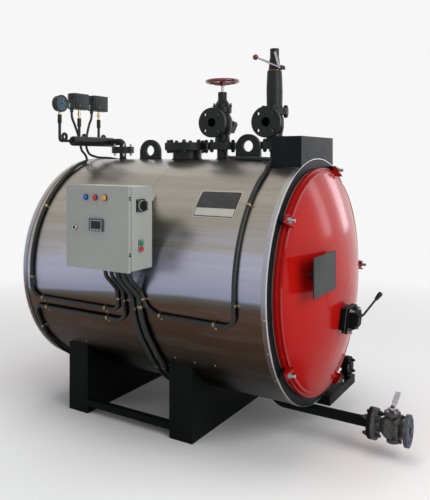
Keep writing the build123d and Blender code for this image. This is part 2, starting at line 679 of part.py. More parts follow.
def conduit(gland_x, stations, lay, r, bend, name):
    drop = [(gland_x, gland_y, gland_z), (gland_x, gland_y, gland_z - 50)]
    return bent_rod(drop + hug(stations, lay), r, bend, name)


mid = panel_mid_x
conduits = conduit(mid - 33, [(mid - 30, -3), (mid - 28, -13.3), (front_run, -13.3), (front_run, 73.7)],
                   thin_lay, thin_r, 55, "switch conduit")
conduits += conduit(mid + 5, [(mid + 7, -3), (mid + 9, -18.2), (under_run, -18.2), (under_run - 8, -38),
                              (under_run + 28, -56), (under_run + 22, -75), (under_run + 22, -255)],
                    thin_lay, thin_r, 60, "under conduit")
conduits += conduit(mid + 45, [(mid + 68, -5), (mid + 76, -20), (mid + 92, -32), (mid + 93, -42), (mid + 86, -54),
                               (mid + 66, -74)], thick_lay, thick_r, 60, "thick conduit")
conduits += conduit(mid + 82, [(mid + 109, -5), (mid + 113, -16), (mid + 136, -30), (mid + 144, -40),
                               (mid + 131, -51), (mid + 110, -74)], thick_lay, thick_r, 60, "thick conduit")
conduits += conduit(mid + 116, [(mid + 123, -3), (mid + 146, -9.5), (mid + 200, -12.4), (rear_run, -12.6),
                                (rear_run, 62), (rear_run - 38, 79), (probe_end_x, 84)],
                    thin_lay, thin_r, 60, "probe conduit")
save("conduits", conduits)
cable_x = switch_x0 + 14
cable_ys = [y - switch_half_y + 14 for y in switch_ys]
cable_top_z = switch_foot_z - 17 - seat
front_cable = [on_shell(front_run, 74.6, thin_lay + 2), on_shell(front_run - 10, 76, thin_lay + 26),
               (cable_x + 4, -166, crown_z + 52), (cable_x - 7, -170, crown_z + 94),
               (cable_x - 8, -188, crown_z + 155), (cable_x - 4, -228, crown_z + 222),
               (cable_x, cable_ys[0], cable_top_z - 36), (cable_x, cable_ys[0], cable_top_z)]
crown_cable = [on_shell(under_run + 22, 104.8, thin_lay), on_shell(under_run + 8, 97, thin_lay),
               on_shell(cable_x + 14, 88, thin_lay), (cable_x - 2, -92, crown_z + 28),
               (cable_x - 2, -122, crown_z + 82), (cable_x - 2, -112, crown_z + 152), (cable_x - 1, -90, crown_z + 222),
               (cable_x, cable_ys[1], cable_top_z - 30), (cable_x, cable_ys[1], cable_top_z)]
cables = bent_rod(front_cable, cable_r, 75, "front cable") + bent_rod(crown_cable, cable_r, 75, "crown cable")
save("switch_cables", cables)

# saddles as open boxes under the shell, and the ties between them
saddle_xs = (front_x + 205.5, -saddle_w / 2)
saddle_top_z = axis_z - shell_r / 3
saddles = Part()
for x in saddle_xs:
    leg = box(x, x + saddle_w, -saddle_half_y, saddle_half_y, 0, saddle_top_z)
    leg -= box(x + saddle_wall, x + saddle_w - saddle_wall, -saddle_half_y + saddle_wall, saddle_half_y - saddle_wall,
               saddle_wall, axis_z)
    saddles += leg - cladding
save("saddles", saddles)
ties = Part()
for y in (-saddle_half_y, saddle_half_y - tie_size):
    ties += box(saddle_xs[0] + saddle_w + seat, saddle_xs[1] - seat, y, y + tie_size, tie_lift, tie_lift + tie_size)
save("tie_bars", ties)

# blowdown line under the shell and its ball valve
blow_y = -40
blow_z = under_shell - 36
blow_joint_x = rear(-294)
blow_foot_x = rear(235)
valve_l = 168
valve_mid = 88
ball_place = Pos(blow_joint_x, blow_y, blow_z) * to_rear
blowdown = bent_rod([(blow_foot_x, blow_y, under_shell + 84), (blow_foot_x, blow_y, blow_z),
                     (blow_joint_x - 10, blow_y, blow_z)], blow_pipe_r, 76)
blowdown += turned([(0, -dn40_flange_t), (dn40_flange_r, -dn40_flange_t), (dn40_flange_r, 0), (0, 0)], ball_place)
save("blowdown_pipe", blowdown - cladding)
valve_back = valve_l - dn40_flange_t
valve = turned([(0, seat), (dn40_flange_r, seat, 1), (dn40_flange_r, dn40_flange_t, 2), (34, dn40_flange_t, 8),
                (32, 36, 6), (54, 60, 14), (54, 110, 3), (63, 112, 2), (63, 126, 2), (38, 128, 3), (34, 142, 5),
                (34, valve_back, 6), (dn40_flange_r, valve_back, 2), (dn40_flange_r, valve_l, 1), (0, valve_l)],
               ball_place)
handle_spindle_r = 9
neck_place = Pos(blow_joint_x + valve_mid, blow_y, blow_z)
valve += turned([(0, 0), (26, 0), (26, 58, 4), (38, 60, 2), (38, 76, 2), (0, 76)], neck_place)
valve += turned([(0, 0), (28, 0), (28, -70, 3), (0, -70)], neck_place)
valve = drilled(valve, ball_place * Pos(0, 0, valve_l), pattern(4, dn40_pcd), flange_hole_r, dn40_flange_t + 1)
valve -= ball_place * Pos(0, 0, valve_l) * Cylinder(dn40_bore_r, 2 * (valve_l - 30))
valve -= neck_place * Pos(0, 0, 60) * Cylinder(handle_spindle_r + running_fit, 40)
save("ball_valve", valve)
handle = turned([(0, 42), (handle_spindle_r, 42), (handle_spindle_r, 84), (15, 84, 2), (15, 92, 2), (0, 92)])
handle += strap([(-14, 0, 94), (16, 0, 94), (112, 0, 133)], 22, 6, 14)
save("ball_valve_lever", neck_place * Rot(0, 0, 90) * handle)

# bearer under the rear end, and the flanged feed pipe that rests on it
bearer_top_z = under_shell + 2
bearer_x1 = rear_x + 38
feed_y = 430
bearer = box(rear(36), bearer_x1, 70, feed_y + 60, bearer_top_z - 48, bearer_top_z)
bearer += box(rear(30), rear(-6), 70, 130, bearer_top_z - 2, bearer_top_z + 42)
save("feed_bearer", bearer - shell_space(seat + band_t + seat))
feed_z = bearer_top_z + feed_flange_r + seat
feed_turn_x = rear(330)
feed_joint_x = rear_x + 15
feed_end_x = feed_joint_x + 17
feed_place = Pos(feed_joint_x, feed_y, feed_z) * to_rear
feed = bent_rod([(feed_turn_x, feed_y, feed_z + 184), (feed_turn_x, feed_y, feed_z), (feed_end_x, feed_y, feed_z)],
                feed_pipe_r, 38)
for x0, x1 in ((-17, -1), (1, feed_end_x - feed_joint_x)):
    feed += turned([(0, x0), (feed_flange_r, x0, 1), (feed_flange_r, x1, 1), (0, x1)], feed_place)
feed -= feed_place * Pos(0, 0, feed_end_x - feed_joint_x) * Cylinder(feed_pipe_r - 3, 46)
save("feed_pipe", feed - cladding)
print(len(nodes), "nodes written")
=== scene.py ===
import math
import bpy
import bmesh
from mathutils import Matrix, Vector


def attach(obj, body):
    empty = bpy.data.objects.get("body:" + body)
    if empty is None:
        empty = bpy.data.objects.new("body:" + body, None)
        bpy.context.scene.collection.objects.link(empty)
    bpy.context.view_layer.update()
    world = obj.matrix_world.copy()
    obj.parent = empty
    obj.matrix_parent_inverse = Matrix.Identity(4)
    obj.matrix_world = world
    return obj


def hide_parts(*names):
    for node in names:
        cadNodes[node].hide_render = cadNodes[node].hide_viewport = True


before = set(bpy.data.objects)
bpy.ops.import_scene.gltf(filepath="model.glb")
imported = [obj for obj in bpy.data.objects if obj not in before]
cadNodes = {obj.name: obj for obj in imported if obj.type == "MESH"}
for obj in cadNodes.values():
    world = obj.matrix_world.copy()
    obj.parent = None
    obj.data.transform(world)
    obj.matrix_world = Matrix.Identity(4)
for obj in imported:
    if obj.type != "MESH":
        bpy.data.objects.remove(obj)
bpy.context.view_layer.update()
scene = bpy.context.scene
smoothBelow = 32.0  # faces that meet at fewer degrees are shaded as one surface

# places that several pieces and finishes share, in metres, with angles in degrees
boiler = {"axisZ": 0.796, "shellR": 0.62, "frontX": -0.9555, "rearX": 0.5445}
crown = {"jointZ": 1.490, "stopX": -0.0155, "safetyX": 0.3025, "gaugeX": -0.7265, "handholeX": -0.2495}
blowdown = {"y": -0.040, "z": 0.140, "jointX": 0.8385, "stemX": 0.9265, "ringX": 0.966}
panel = {"frontY": -0.8250, "readoutX": -0.2400, "readoutZ": 1.104, "lampX": -0.2485, "lampPitch": 0.059,
         "sideX": -0.0545, "sideY": -0.729, "isolatorZ": 1.198, "buttonZ": 1.008}
nameplate = {"x": (0.100, 0.330), "angle": (33.4, 48.2), "out": (0.0002, 0.0014)}


# shader and geometry trees

class Graph:
    def __init__(self, tree):
        self.tree = tree

    def plug(self, socket, value):
        # links a socket, a node or a Num, and sets any other value
        if isinstance(value, Num):
            value = value.socket
        if isinstance(value, bpy.types.Node):
            value = value.outputs[0]
        if isinstance(value, bpy.types.NodeSocket):
            self.tree.links.new(value, socket)
        else:
            socket.default_value = value

    def node(self, kind, settings=None, sockets=None):
        made = self.tree.nodes.new(kind)
        for key, value in (settings or {}).items():
            if key == "stops":
                self.setStops(made.color_ramp, value)
            else:
                setattr(made, key, value)
        for key, value in (sockets or {}).items():
            for one in value if isinstance(value, list) else [value]:
                self.plug(made.inputs[key], one)
        return made

    def setStops(self, ramp, stops):
        while len(ramp.elements) < len(stops):
            ramp.elements.new(1.0)
        for element, (place, colour) in zip(ramp.elements, stops):
            element.position = place
            element.color = colour

    def num(self, source):
        return Num(self, source.outputs[0] if isinstance(source, bpy.types.Node) else source)

    def seenPlainly(self):
        # 1 on rays from the camera, off a mirror and through glass, 0 on rays that light the object
        path = self.node("ShaderNodeLightPath")
        kinds = ("Is Camera Ray", "Is Glossy Ray", "Is Transmission Ray")
        camera, glossy, through = [self.num(path.outputs[kind]) for kind in kinds]
        return camera.largest(glossy).largest(through)


class Num:
    # one number in a tree: an expression on it adds the Math nodes
    def __init__(self, graph, socket):
        self.graph = graph
        self.socket = socket

    def math(self, operation, *values, clamp=False):
        settings = {"operation": operation, "use_clamp": clamp}
        made = self.graph.node("ShaderNodeMath", settings, dict(enumerate(values)))
        return Num(self.graph, made.outputs[0])

    def __add__(self, other):
        return self.math("ADD", self, other)

    def __radd__(self, other):
        return self.math("ADD", other, self)

    def __sub__(self, other):
        return self.math("SUBTRACT", self, other)

    def __rsub__(self, other):
        return self.math("SUBTRACT", other, self)

    def __mul__(self, other):
        return self.math("MULTIPLY", self, other)

    def __rmul__(self, other):
        return self.math("MULTIPLY", other, self)

    def __truediv__(self, other):
        return self.math("DIVIDE", self, other)

    def __rtruediv__(self, other):
        return self.math("DIVIDE", other, self)

    def __pow__(self, other):
        return self.math("POWER", self, other)

    def __abs__(self):
        return self.math("ABSOLUTE", self)

    def __gt__(self, other):
        return self.math("GREATER_THAN", self, other)

    def __lt__(self, other):
        return self.math("LESS_THAN", self, other)

    def clamped(self):
        return self.math("ADD", self, 0.0, clamp=True)

    def largest(self, other):
        return self.math("MAXIMUM", self, other)


def tint(red, green, blue):
    # a colour as seen on screen, 0 to 255, turned to the linear values that Blender works in
    def linear(c):
        return c / 255 / 12.92 if c <= 10 else ((c / 255 + 0.055) / 1.055) ** 2.4

    return (linear(red), linear(green), linear(blue), 1.0)


class Finish(Graph):
    # a material of one Principled shader, with the piece's own X, Y and Z to make patterns from
    socketNames = {"colour": "Base Color", "roughness": "Roughness", "metallic": "Metallic",
                   "coat": "Coat Weight", "coatRoughness": "Coat Roughness",
                   "specular": "Specular IOR Level", "normal": "Normal", "alpha": "Alpha"}

    def __init__(self, name, **shaderValues):
        self.material = bpy.data.materials.new(name)
        self.material.use_nodes = True
        super().__init__(self.material.node_tree)
        self.tree.nodes.clear()
        self.shader = self.node("ShaderNodeBsdfPrincipled")
        self.node("ShaderNodeOutputMaterial", None, {"Surface": self.shader})
        self.set(**shaderValues)
        self.place = self.node("ShaderNodeTexCoord").outputs["Object"]
        split = self.node("ShaderNodeSeparateXYZ", None, {0: self.place})
        self.x, self.y, self.z = [self.num(socket) for socket in split.outputs]

    def set(self, **values):
        for key, value in values.items():
            self.plug(self.shader.inputs[self.socketNames[key]], value)

    def stretched(self, scale):
        return self.node("ShaderNodeMapping", None, {"Vector": self.place, "Scale": scale}).outputs[0]

    def noise(self, scale, detail=3.0, rough=0.55, stretch=None):
        place = self.stretched(stretch) if stretch else self.place
        made = self.node("ShaderNodeTexNoise", None, {"Vector": place, "Scale": scale,
                                                      "Detail": detail, "Roughness": rough})
        return self.num(made)

    def spread(self, value, low, high, fromLow=0.3, fromHigh=0.7):
        # a noise value carried onto the range low to high
        return self.num(self.node("ShaderNodeMapRange", None, {0: value, 1: fromLow, 2: fromHigh,
                                                               3: low, 4: high}))

    def ramp(self, value, stops):
        return self.node("ShaderNodeValToRGB", {"stops": stops}, {0: value}).outputs[0]

    def mix(self, share, first, second):
        made = self.node("ShaderNodeMix", {"data_type": "RGBA"}, {0: share, 6: first, 7: second})
        return made.outputs[2]

    def bump(self, height, distance, strength):
        return self.node("ShaderNodeBump", None, {"Height": height, "Distance": distance,
                                                  "Strength": strength}).outputs[0]

    def facingUp(self):
        # Z of the surface's own direction
        normal = self.node("ShaderNodeNewGeometry").outputs["Normal"]
        return self.num(self.node("ShaderNodeSeparateXYZ", None, {0: normal}).outputs[2])

    def shellAngle(self):
        # degrees above the shell's mid-height, the same on both sides
        up = self.z - boiler["axisZ"]
        return up.math("ARCTAN2", up, abs(self.y)) * (180 / math.pi)

    def band(self, value, low, high, soft=0.0006):
        # 1 where the value lies between low and high
        return ((value - low) / soft).clamped() * ((high - value) / soft).clamped()


class Growth(Graph):
    # a geometry tree with named sizes, which ends in realized instances and one finish
    def __init__(self, name, **sizes):
        super().__init__(bpy.data.node_groups.new(name, "GeometryNodeTree"))
        sockets = self.tree.interface
        sockets.new_socket("Spots", in_out="INPUT", socket_type="NodeSocketGeometry")
        for label, value in sizes.items():
            kind = "NodeSocketInt" if isinstance(value, int) else "NodeSocketFloat"
            sockets.new_socket(label, in_out="INPUT", socket_type=kind).default_value = value
        sockets.new_socket("finish", in_out="INPUT", socket_type="NodeSocketMaterial")
        sockets.new_socket("Grown", in_out="OUTPUT", socket_type="NodeSocketGeometry")
        self.start = self.node("NodeGroupInput")
        self.spots = self.start.outputs["Spots"]

    def size(self, label):
        return self.num(self.start.outputs[label])

    def vector(self, x, y, z):
        if any(isinstance(value, Num) for value in (x, y, z)):
            return self.node("ShaderNodeCombineXYZ", None, {0: x, 1: y, 2: z}).outputs[0]
        return (x, y, z)

    def moved(self, shape, at=(0.0, 0.0, 0.0), turn=(0.0, 0.0, 0.0), grow=(1.0, 1.0, 1.0)):
        made = self.node("GeometryNodeTransform", None, {
            "Geometry": shape, "Translation": self.vector(*at), "Rotation": turn,
            "Scale": self.vector(*grow)})
        return made.outputs[0]

    def joined(self, *shapes):
        return self.node("GeometryNodeJoinGeometry", None, {0: list(shapes)}).outputs[0]

    def drum(self, sides, radius, depth, low=0.0):
        # prism or cylinder that stands at a height on the spot
        made = self.node("GeometryNodeMeshCylinder", None, {"Vertices": sides, "Radius": radius,
                                                            "Depth": depth})
        return self.moved(made, (0.0, 0.0, depth * 0.5 + low))

    def cube(self, x, y, z, at=(0.0, 0.0, 0.0)):
        return self.moved(self.node("GeometryNodeMeshCube", None, {"Size": self.vector(x, y, z)}), at)

    def dome(self, radius, squeeze, low=0.0, segments=12, rings=6):
        made = self.node("GeometryNodeMeshUVSphere", None, {"Segments": segments, "Rings": rings,
                                                            "Radius": radius})
        return self.moved(made, (0.0, 0.0, low), grow=(1.0, 1.0, squeeze))

    def circle(self, points, radius):
        return self.node("GeometryNodeCurvePrimitiveCircle", None, {"Resolution": points,
                                                                    "Radius": radius})

    def swept(self, line, profile):
        return self.node("GeometryNodeCurveToMesh", None, {0: line, 1: profile, "Fill Caps": True})

    def spotValue(self, name):
        made = self.node("GeometryNodeInputNamedAttribute", {"data_type": "FLOAT_VECTOR"}, {"Name": name})
        return made.outputs["Attribute"]

    def placed(self, shape):
        # the shape at each spot, with the spot's own turn and size
        spin = self.node("FunctionNodeEulerToRotation", None, {0: self.spotValue("turn")})
        return self.node("GeometryNodeInstanceOnPoints", None, {
            "Points": self.spots, "Instance": shape, "Rotation": spin, "Scale": self.spotValue("grow")})

    def end(self, shape):
        real = self.node("GeometryNodeRealizeInstances", None, {0: shape})
        finish = self.start.outputs["finish"]
        done = self.node("GeometryNodeSetMaterial", None, {"Geometry": real, "Material": finish})
        self.node("NodeGroupOutput", None, {0: done})
        return self


finishes = {}


def plainMesh(holder):
    # what an object comes to when its modifiers or its text are worked out
    depsgraph = bpy.context.evaluated_depsgraph_get()
    return bpy.data.meshes.new_from_object(holder.evaluated_get(depsgraph), depsgraph=depsgraph)


def keep(name, mesh, body):
    # a finished mesh becomes a piece that rides on its body
    for face in mesh.polygons:
        face.use_smooth = True
    mesh.set_sharp_from_angle(angle=math.radians(smoothBelow))
    piece = bpy.data.objects.new(name, mesh)
    scene.collection.objects.link(piece)
    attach(piece, body)
    return piece


def grow(name, spots, growth, finish, body, slot, edges=(), **sizes):
    # runs a geometry tree on spots, each a matrix of place, turn and size, and keeps the plain mesh
    mesh = bpy.data.meshes.new(name + "Spots")
    mesh.from_pydata([spot.translation[:] for spot in spots], edges, [])
    turn = mesh.attributes.new("turn", "FLOAT_VECTOR", "POINT")
    size = mesh.attributes.new("grow", "FLOAT_VECTOR", "POINT")
    for index, spot in enumerate(spots):
        turn.data[index].vector = spot.to_euler()
        size.data[index].vector = spot.to_scale()
    holder = bpy.data.objects.new(name + "Spots", mesh)
    scene.collection.objects.link(holder)
    modifier = holder.modifiers.new("growth", "NODES")
    modifier.node_group = growth.tree
    values = {**sizes, "finish": finishes[finish]}
    for item in growth.tree.interface.items_tree:
        if item.in_out == "INPUT" and item.name in values:
            modifier[item.identifier] = values[item.name]
    grown = plainMesh(holder)
    holder.modifiers.remove(modifier)
    bpy.data.objects.remove(holder)
    bpy.data.meshes.remove(mesh)
    return keep(name, grown, body)


class Solid:
    # plain mesh work for pieces that don't repeat
    def __init__(self):
        self.bm = bmesh.new()

    def lathe(self, outline, place, steps=48):
        # outline of (radius, height) points turned about the place's Z
        turns = [2 * math.pi * k / steps for k in range(steps)]
        rings = []
        for radius, height in outline:
            points = [(radius * math.cos(a), radius * math.sin(a), height) for a in turns]
            if radius < 1e-6:
                points = [(0, 0, height)]
            rings.append([self.bm.verts.new(place @ Vector(point)) for point in points])
        for low, high in zip(rings, rings[1:]):
            for k in range(steps):
                nextK = (k + 1) % steps
                corners = [low[k % len(low)], low[nextK % len(low)],
                           high[nextK % len(high)], high[k % len(high)]]
                unique = list(dict.fromkeys(corners))
                if len(unique) > 2:
                    self.bm.faces.new(unique)
        return self

    def disc(self, radius, low, high, place, steps=48):
        return self.lathe([(0, low), (radius, low), (radius, high), (0, high)], place, steps)

    def block(self, size, place, bevel, segments=2):
        made = bmesh.ops.create_cube(self.bm, size=1.0, matrix=place @ Matrix.Diagonal((*size, 1.0)))
        if bevel:
            edges = list(dict.fromkeys(edge for vert in made["verts"] for edge in vert.link_edges))
            bmesh.ops.bevel(self.bm, geom=edges, offset=bevel, segments=segments,
                            affect="EDGES", profile=0.5)
        return self

    def strip(self, line, width, thick, place):
        # flat bar along (x, z) points of its place, as wide as asked across Y
        rows = []
        for index, (x, z) in enumerate(line):
            before = Vector(line[max(index - 1, 0)])
            after = Vector(line[min(index + 1, len(line) - 1)])
            along = (after - before).normalized()
            out = Vector((-along.y, along.x)) * thick / 2
            row = [place @ Vector((x + s * out.x, y, z + s * out.y)) for s, y in
                   ((-1, -width / 2), (-1, width / 2), (1, width / 2), (1, -width / 2))]
            rows.append([self.bm.verts.new(point) for point in row])
        for low, high in zip(rows, rows[1:]):
            for k in range(4):
                self.bm.faces.new([low[k], low[(k + 1) % 4], high[(k + 1) % 4], high[k]])
        self.bm.faces.new(rows[0][::-1])
        self.bm.faces.new(rows[-1])
        return self

    def sheet(self, rows, cols, outer, inner):
        # curved plate between two point functions of (u, v), both 0 to 1
        front, back = [[[self.bm.verts.new(point(i / rows, j / cols)) for j in range(cols + 1)]
                        for i in range(rows + 1)] for point in (outer, inner)]
        for grid in (front, back):
            for i in range(rows):
                for j in range(cols):
                    self.bm.faces.new([grid[i][j], grid[i + 1][j], grid[i + 1][j + 1], grid[i][j + 1]])
        rim = [(i, 0) for i in range(rows)] + [(rows, j) for j in range(cols)]
        rim += [(i, cols) for i in range(rows, 0, -1)] + [(0, j) for j in range(cols, 0, -1)]
        for (i, j), (nextI, nextJ) in zip(rim, rim[1:] + rim[:1]):
            self.bm.faces.new([front[i][j], front[nextI][nextJ], back[nextI][nextJ], back[i][j]])
        return self

    def text(self, words, height, place):
        # dial figures, made a mesh before they are placed
        curve = bpy.data.curves.new("figure", "FONT")
        curve.body = words
        curve.size = height
        curve.align_x = "CENTER"
        curve.align_y = "CENTER"
        curve.extrude = height * 0.02
        holder = bpy.data.objects.new("figure", curve)
        scene.collection.objects.link(holder)
        mesh = plainMesh(holder)
        bpy.data.objects.remove(holder)
        bpy.data.curves.remove(curve)
        mesh.transform(place)
        self.bm.from_mesh(mesh)
        bpy.data.meshes.remove(mesh)
        return self

    def end(self, name, finish, body="boiler", slot="steel", replaces=()):
        bmesh.ops.recalc_face_normals(self.bm, faces=self.bm.faces)
        mesh = bpy.data.meshes.new(name)
        self.bm.to_mesh(mesh)
        self.bm.free()
        mesh.materials.append(finishes[finish])
        piece = keep(name, mesh, body)
        if replaces:
            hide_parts(*replaces)
        return piece


def at(x, y, z):
    return Matrix.Translation((x, y, z))


def turned(degrees, axis):
    return Matrix.Rotation(math.radians(degrees), 4, axis)


def sized(factor):
    return Matrix.Diagonal((factor, factor, factor, 1.0))


toRear = turned(90, "Y")
toPanel = turned(90, "X")


def onShell(x, angle, out=0.0):
    # place on the panel side of the shell: Z out of the jacket, X towards the rear door
    a = math.radians(angle)
    r = boiler["shellR"] + out
    normal = Vector((0, -math.cos(a), math.sin(a)))
    along = Vector((1, 0, 0))
    across = normal.cross(along)
    spot = Matrix((along, across, normal)).transposed().to_4x4()
    spot.translation = (x, -r * math.cos(a), boiler["axisZ"] + r * math.sin(a))
    return spot


def shellHeight(y, out=0.0):
    # height of the jacket's top at a distance from the middle, or of a skin that lies on it
    return boiler["axisZ"] + math.sqrt((boiler["shellR"] + out) ** 2 - y * y)


# finishes

def claddingFinish():
    # polished sheet whose colour is a painted reflection of the hall in bands, which lean and ripple on
    # their way round the shell
    look = {"roughness": (0.25, 0.35), "wave": 2.6, "ripple": 42.0, "rippleFrom": 4.0, "rippleOver": 12.0,
            "lean": (2.0, 3.0, 3.3), "leanEnds": 70.0, "streak": 0.2, "seamX": -0.2065, "seamHalf": 0.0016}
    made = Finish("polishedCladding", metallic=1.0)
    angle = made.shellAngle()
    inward = boiler["rearX"] - made.x
    start, slope, bend = look["lean"]
    upright = (1.0 - abs(angle) / look["leanEnds"]).clamped()
    lean = (start + inward * slope + inward * inward * bend) * upright
    wave = (made.noise(1.0, 3.0, 0.5, (0.8, 3.0, 3.0)) - 0.5) * look["wave"] * 2
    upper = ((angle - look["rippleFrom"]) / look["rippleOver"]).clamped()
    ripple = (made.noise(7.0, 4.0, 0.6, (0.12, 2.6, 2.6)) - 0.5) * look["ripple"] * upper
    turn = (angle + lean + wave + ripple + 90.0) / 180.0
    # painted reflection by angle round the shell: a dark ground on the lower half, pale sky above
    paintedReflectionBands = made.ramp(turn, [
        (0.00, tint(30, 30, 26)), (0.17, tint(22, 24, 19)), (0.24, tint(38, 32, 24)),
        (0.33, tint(55, 42, 32)), (0.43, tint(72, 54, 43)), (0.478, tint(80, 62, 51)),
        (0.489, tint(80, 76, 69)), (0.500, tint(98, 97, 96)), (0.508, tint(142, 146, 168)),
        (0.545, tint(158, 158, 180)), (0.585, tint(168, 168, 186)), (0.63, tint(162, 158, 160)),
        (0.69, tint(152, 146, 135)), (0.75, tint(166, 158, 147)), (0.80, tint(156, 149, 139)),
        (0.85, tint(164, 157, 148)), (0.90, tint(178, 172, 163)), (0.93, tint(164, 161, 155)),
        (0.97, tint(176, 176, 174)), (1.00, tint(206, 206, 208))])
    streaks = made.noise(9.0, 4.0, 0.6, (0.25, 2.2, 2.2))
    # streaks that dull the painted reflection towards grey
    streakedReflection = made.mix(made.spread(streaks, 0.0, look["streak"], 0.45, 0.75), paintedReflectionBands, tint(120, 118, 116))
    seam = (1.0 - abs(made.x - look["seamX"]) / look["seamHalf"]).clamped()
    made.set(colour=made.mix(seam * 0.5, streakedReflection, tint(40, 40, 40)))
    patches = made.noise(2.3, 3.0, 0.6, (0.7, 1.6, 1.6))
    made.set(roughness=made.spread(patches, *look["roughness"]))
    dents = made.noise(3.1, 2.0, 0.5, (0.7, 1.0, 1.0)) + seam * 0.4
    made.set(normal=made.bump(dents, 0.004, 0.5))
    return made.material


def trimFinish():
    # the band's colour is a painted reflection of the hall as the jacket's is, with a painted highlight
    # along the rolled rim at its outer edge
    look = {"rimWidth": 0.006, "pastEnd": 0.01, "rimPaintedLightShare": 0.8}
    made = Finish("trimSteel", metallic=1.0)
    turn = (made.shellAngle() + 90.0) / 180.0
    # painted reflection of the hall by angle round the band
    paintedReflectionBands = made.ramp(turn, [
        (0.0, tint(60, 56, 50)), (0.3, tint(74, 60, 50)), (0.45, tint(96, 84, 76)),
        (0.5, tint(140, 142, 154)), (0.6, tint(160, 162, 176)), (0.75, tint(176, 172, 166)),
        (0.9, tint(190, 186, 180)), (1.0, tint(200, 200, 200))])
    middle = (boiler["rearX"] + boiler["frontX"]) / 2
    half = (boiler["rearX"] - boiler["frontX"]) / 2
    # painted highlight along the rolled rim
    rim = made.band(abs(made.x - middle), half - look["rimWidth"], half + look["pastEnd"])
    rub = made.noise(60.0, 3.0, 0.6)
    base = made.mix(made.spread(rub, 0.0, 0.25), paintedReflectionBands, tint(120, 118, 118))
    made.set(colour=made.mix(rim * look["rimPaintedLightShare"], base, tint(214, 214, 218)))
    made.set(roughness=made.spread(rub, 0.24, 0.4), normal=made.bump(rub, 0.0005, 0.3))
    return made.material


def paintFinish(name, colour, worn, dusty, roughness, specular, dust=0.2, peel=0.0006, grainScale=40.0):
    # brushed or sprayed paint: cloudy colour, fine peel, dust where a face looks up
    made = Finish(name, specular=specular)
    cloud = made.noise(3.0, 4.0, 0.6)
    grain = made.noise(grainScale, 3.0, 0.55)
    skyward = (made.facingUp() * 1.6 - 0.6).clamped() * dust
    settled = skyward * made.spread(made.noise(7.0, 4.0, 0.65), 0.3, 1.0)
    base = made.mix(made.spread(cloud, 0.0, 0.8), colour, worn)
    made.set(colour=made.mix(settled, base, dusty))
    made.set(roughness=made.spread(cloud, *roughness), normal=made.bump(grain, peel, 0.5))
    return made.material


def redFinish():
    # thick enamel: glossier high up, with painted shade darkening it towards the rolled rim, and with sags
    # and a fine peel
    look = {"rimFrom": 0.50, "rimOver": 0.07, "rimPaintedLightShare": 0.5, "glossZ": (0.6, 1.1), "coat": (0.0, 0.36)}
    made = Finish("redEnamel", coatRoughness=0.12, specular=0.06)
    made.set(coat=made.spread(made.z, *look["coat"], *look["glossZ"]))
    cloud = made.noise(1.7, 3.0, 0.5)
    grain = made.noise(85.0, 2.0, 0.5)
    sag = made.noise(4.5, 3.0, 0.55, (1.0, 1.3, 0.3))
    rise = made.z - boiler["axisZ"]
    out = (made.y * made.y + rise * rise) ** 0.5
    # painted shade on the dish's knuckle: the red darkens towards the rolled rim
    rim = ((out - look["rimFrom"]) / look["rimOver"]).clamped()
    base = made.mix(made.spread(cloud, 0.0, 0.7), tint(170, 20, 15), tint(146, 12, 11))
    made.set(colour=made.mix(rim * look["rimPaintedLightShare"], base, tint(128, 10, 12)))
    made.set(roughness=made.spread(cloud, 0.16, 0.26))
    made.set(normal=made.bump(grain * 0.05 + sag, 0.010, 0.32))
    return made.material


def steelFinish(name, light, dark, roughness, stain=0.4):
    made = Finish(name, metallic=1.0)
    grainScale = 110.0
    grain = made.noise(grainScale, 4.0, 0.6)
    cloud = made.noise(grainScale / 6, 3.0, 0.6)
    made.set(colour=made.mix(made.spread(cloud, 0.0, stain), light, dark))
    made.set(roughness=made.spread(grain, *roughness), normal=made.bump(grain, 0.0004, 0.4))
    return made.material


def castFinish():
    # sand-cast steel with light rubbed specks that also serve as painted highlights, and a painted bluish
    # reflection on the machined face where the blowdown line ends
    look = {"faceX": 1.0058, "pastEnd": 1.1}
    made = Finish("castSteel", metallic=0.5, specular=0.3)
    grain = made.noise(260.0, 4.0, 0.65)
    cloud = made.noise(22.0, 4.0, 0.6)
    base = made.mix(made.spread(cloud, 0.0, 1.0), tint(78, 78, 76), tint(42, 43, 43))
    # light specks: rubbed metal, and painted highlights
    rubbedAndGlinting = made.mix(made.spread(grain, 0.0, 0.4, 0.45, 0.75), base, tint(150, 150, 152))
    # painted bluish reflection on the machined face
    paintedReflectionFace = made.band(made.x, look["faceX"], look["pastEnd"], 0.0003)
    made.set(colour=made.mix(paintedReflectionFace, rubbedAndGlinting, tint(40, 52, 74)))
    made.set(roughness=made.spread(cloud, 0.42, 0.62), normal=made.bump(grain, 0.0012, 0.6))
    return made.material


def wheelFinish():
    made = Finish("wheelEnamel", coat=0.5, coatRoughness=0.08)
    chips = made.spread(made.noise(38.0, 4.0, 0.7), 0.0, 1.0, 0.60, 0.68)
    made.set(colour=made.mix(chips, tint(92, 8, 20), tint(170, 160, 168)))
    made.set(metallic=chips * 0.9, roughness=made.spread(made.noise(60.0), 0.16, 0.34))
    made.set(normal=made.bump(1.0 - chips, 0.0008, 0.5))
    return made.material


def mouldedFinish(name, colour, second, roughness, grainScale=180.0, specular=0.3):
    made = Finish(name, specular=specular)
    grain = made.noise(grainScale, 3.0, 0.55)
    cloud = made.noise(9.0, 3.0, 0.55)
    made.set(colour=made.mix(made.spread(cloud, 0.0, 0.9), colour, second))
    made.set(roughness=made.spread(grain, *roughness), normal=made.bump(grain, 0.0005, 0.45))
    return made.material


def panelFinish():
    made = Finish("panelPowder", coat=0.1, coatRoughness=0.3, specular=0.3)
    peel = made.noise(240.0, 3.0, 0.5)
    cloud = made.noise(2.2, 3.0, 0.5)
    made.set(colour=made.mix(made.spread(cloud, 0.0, 1.0), tint(158, 161, 156), tint(148, 151, 147)))
    made.set(roughness=made.spread(peel, 0.34, 0.48), normal=made.bump(peel, 0.0006, 0.45))
    return made.material


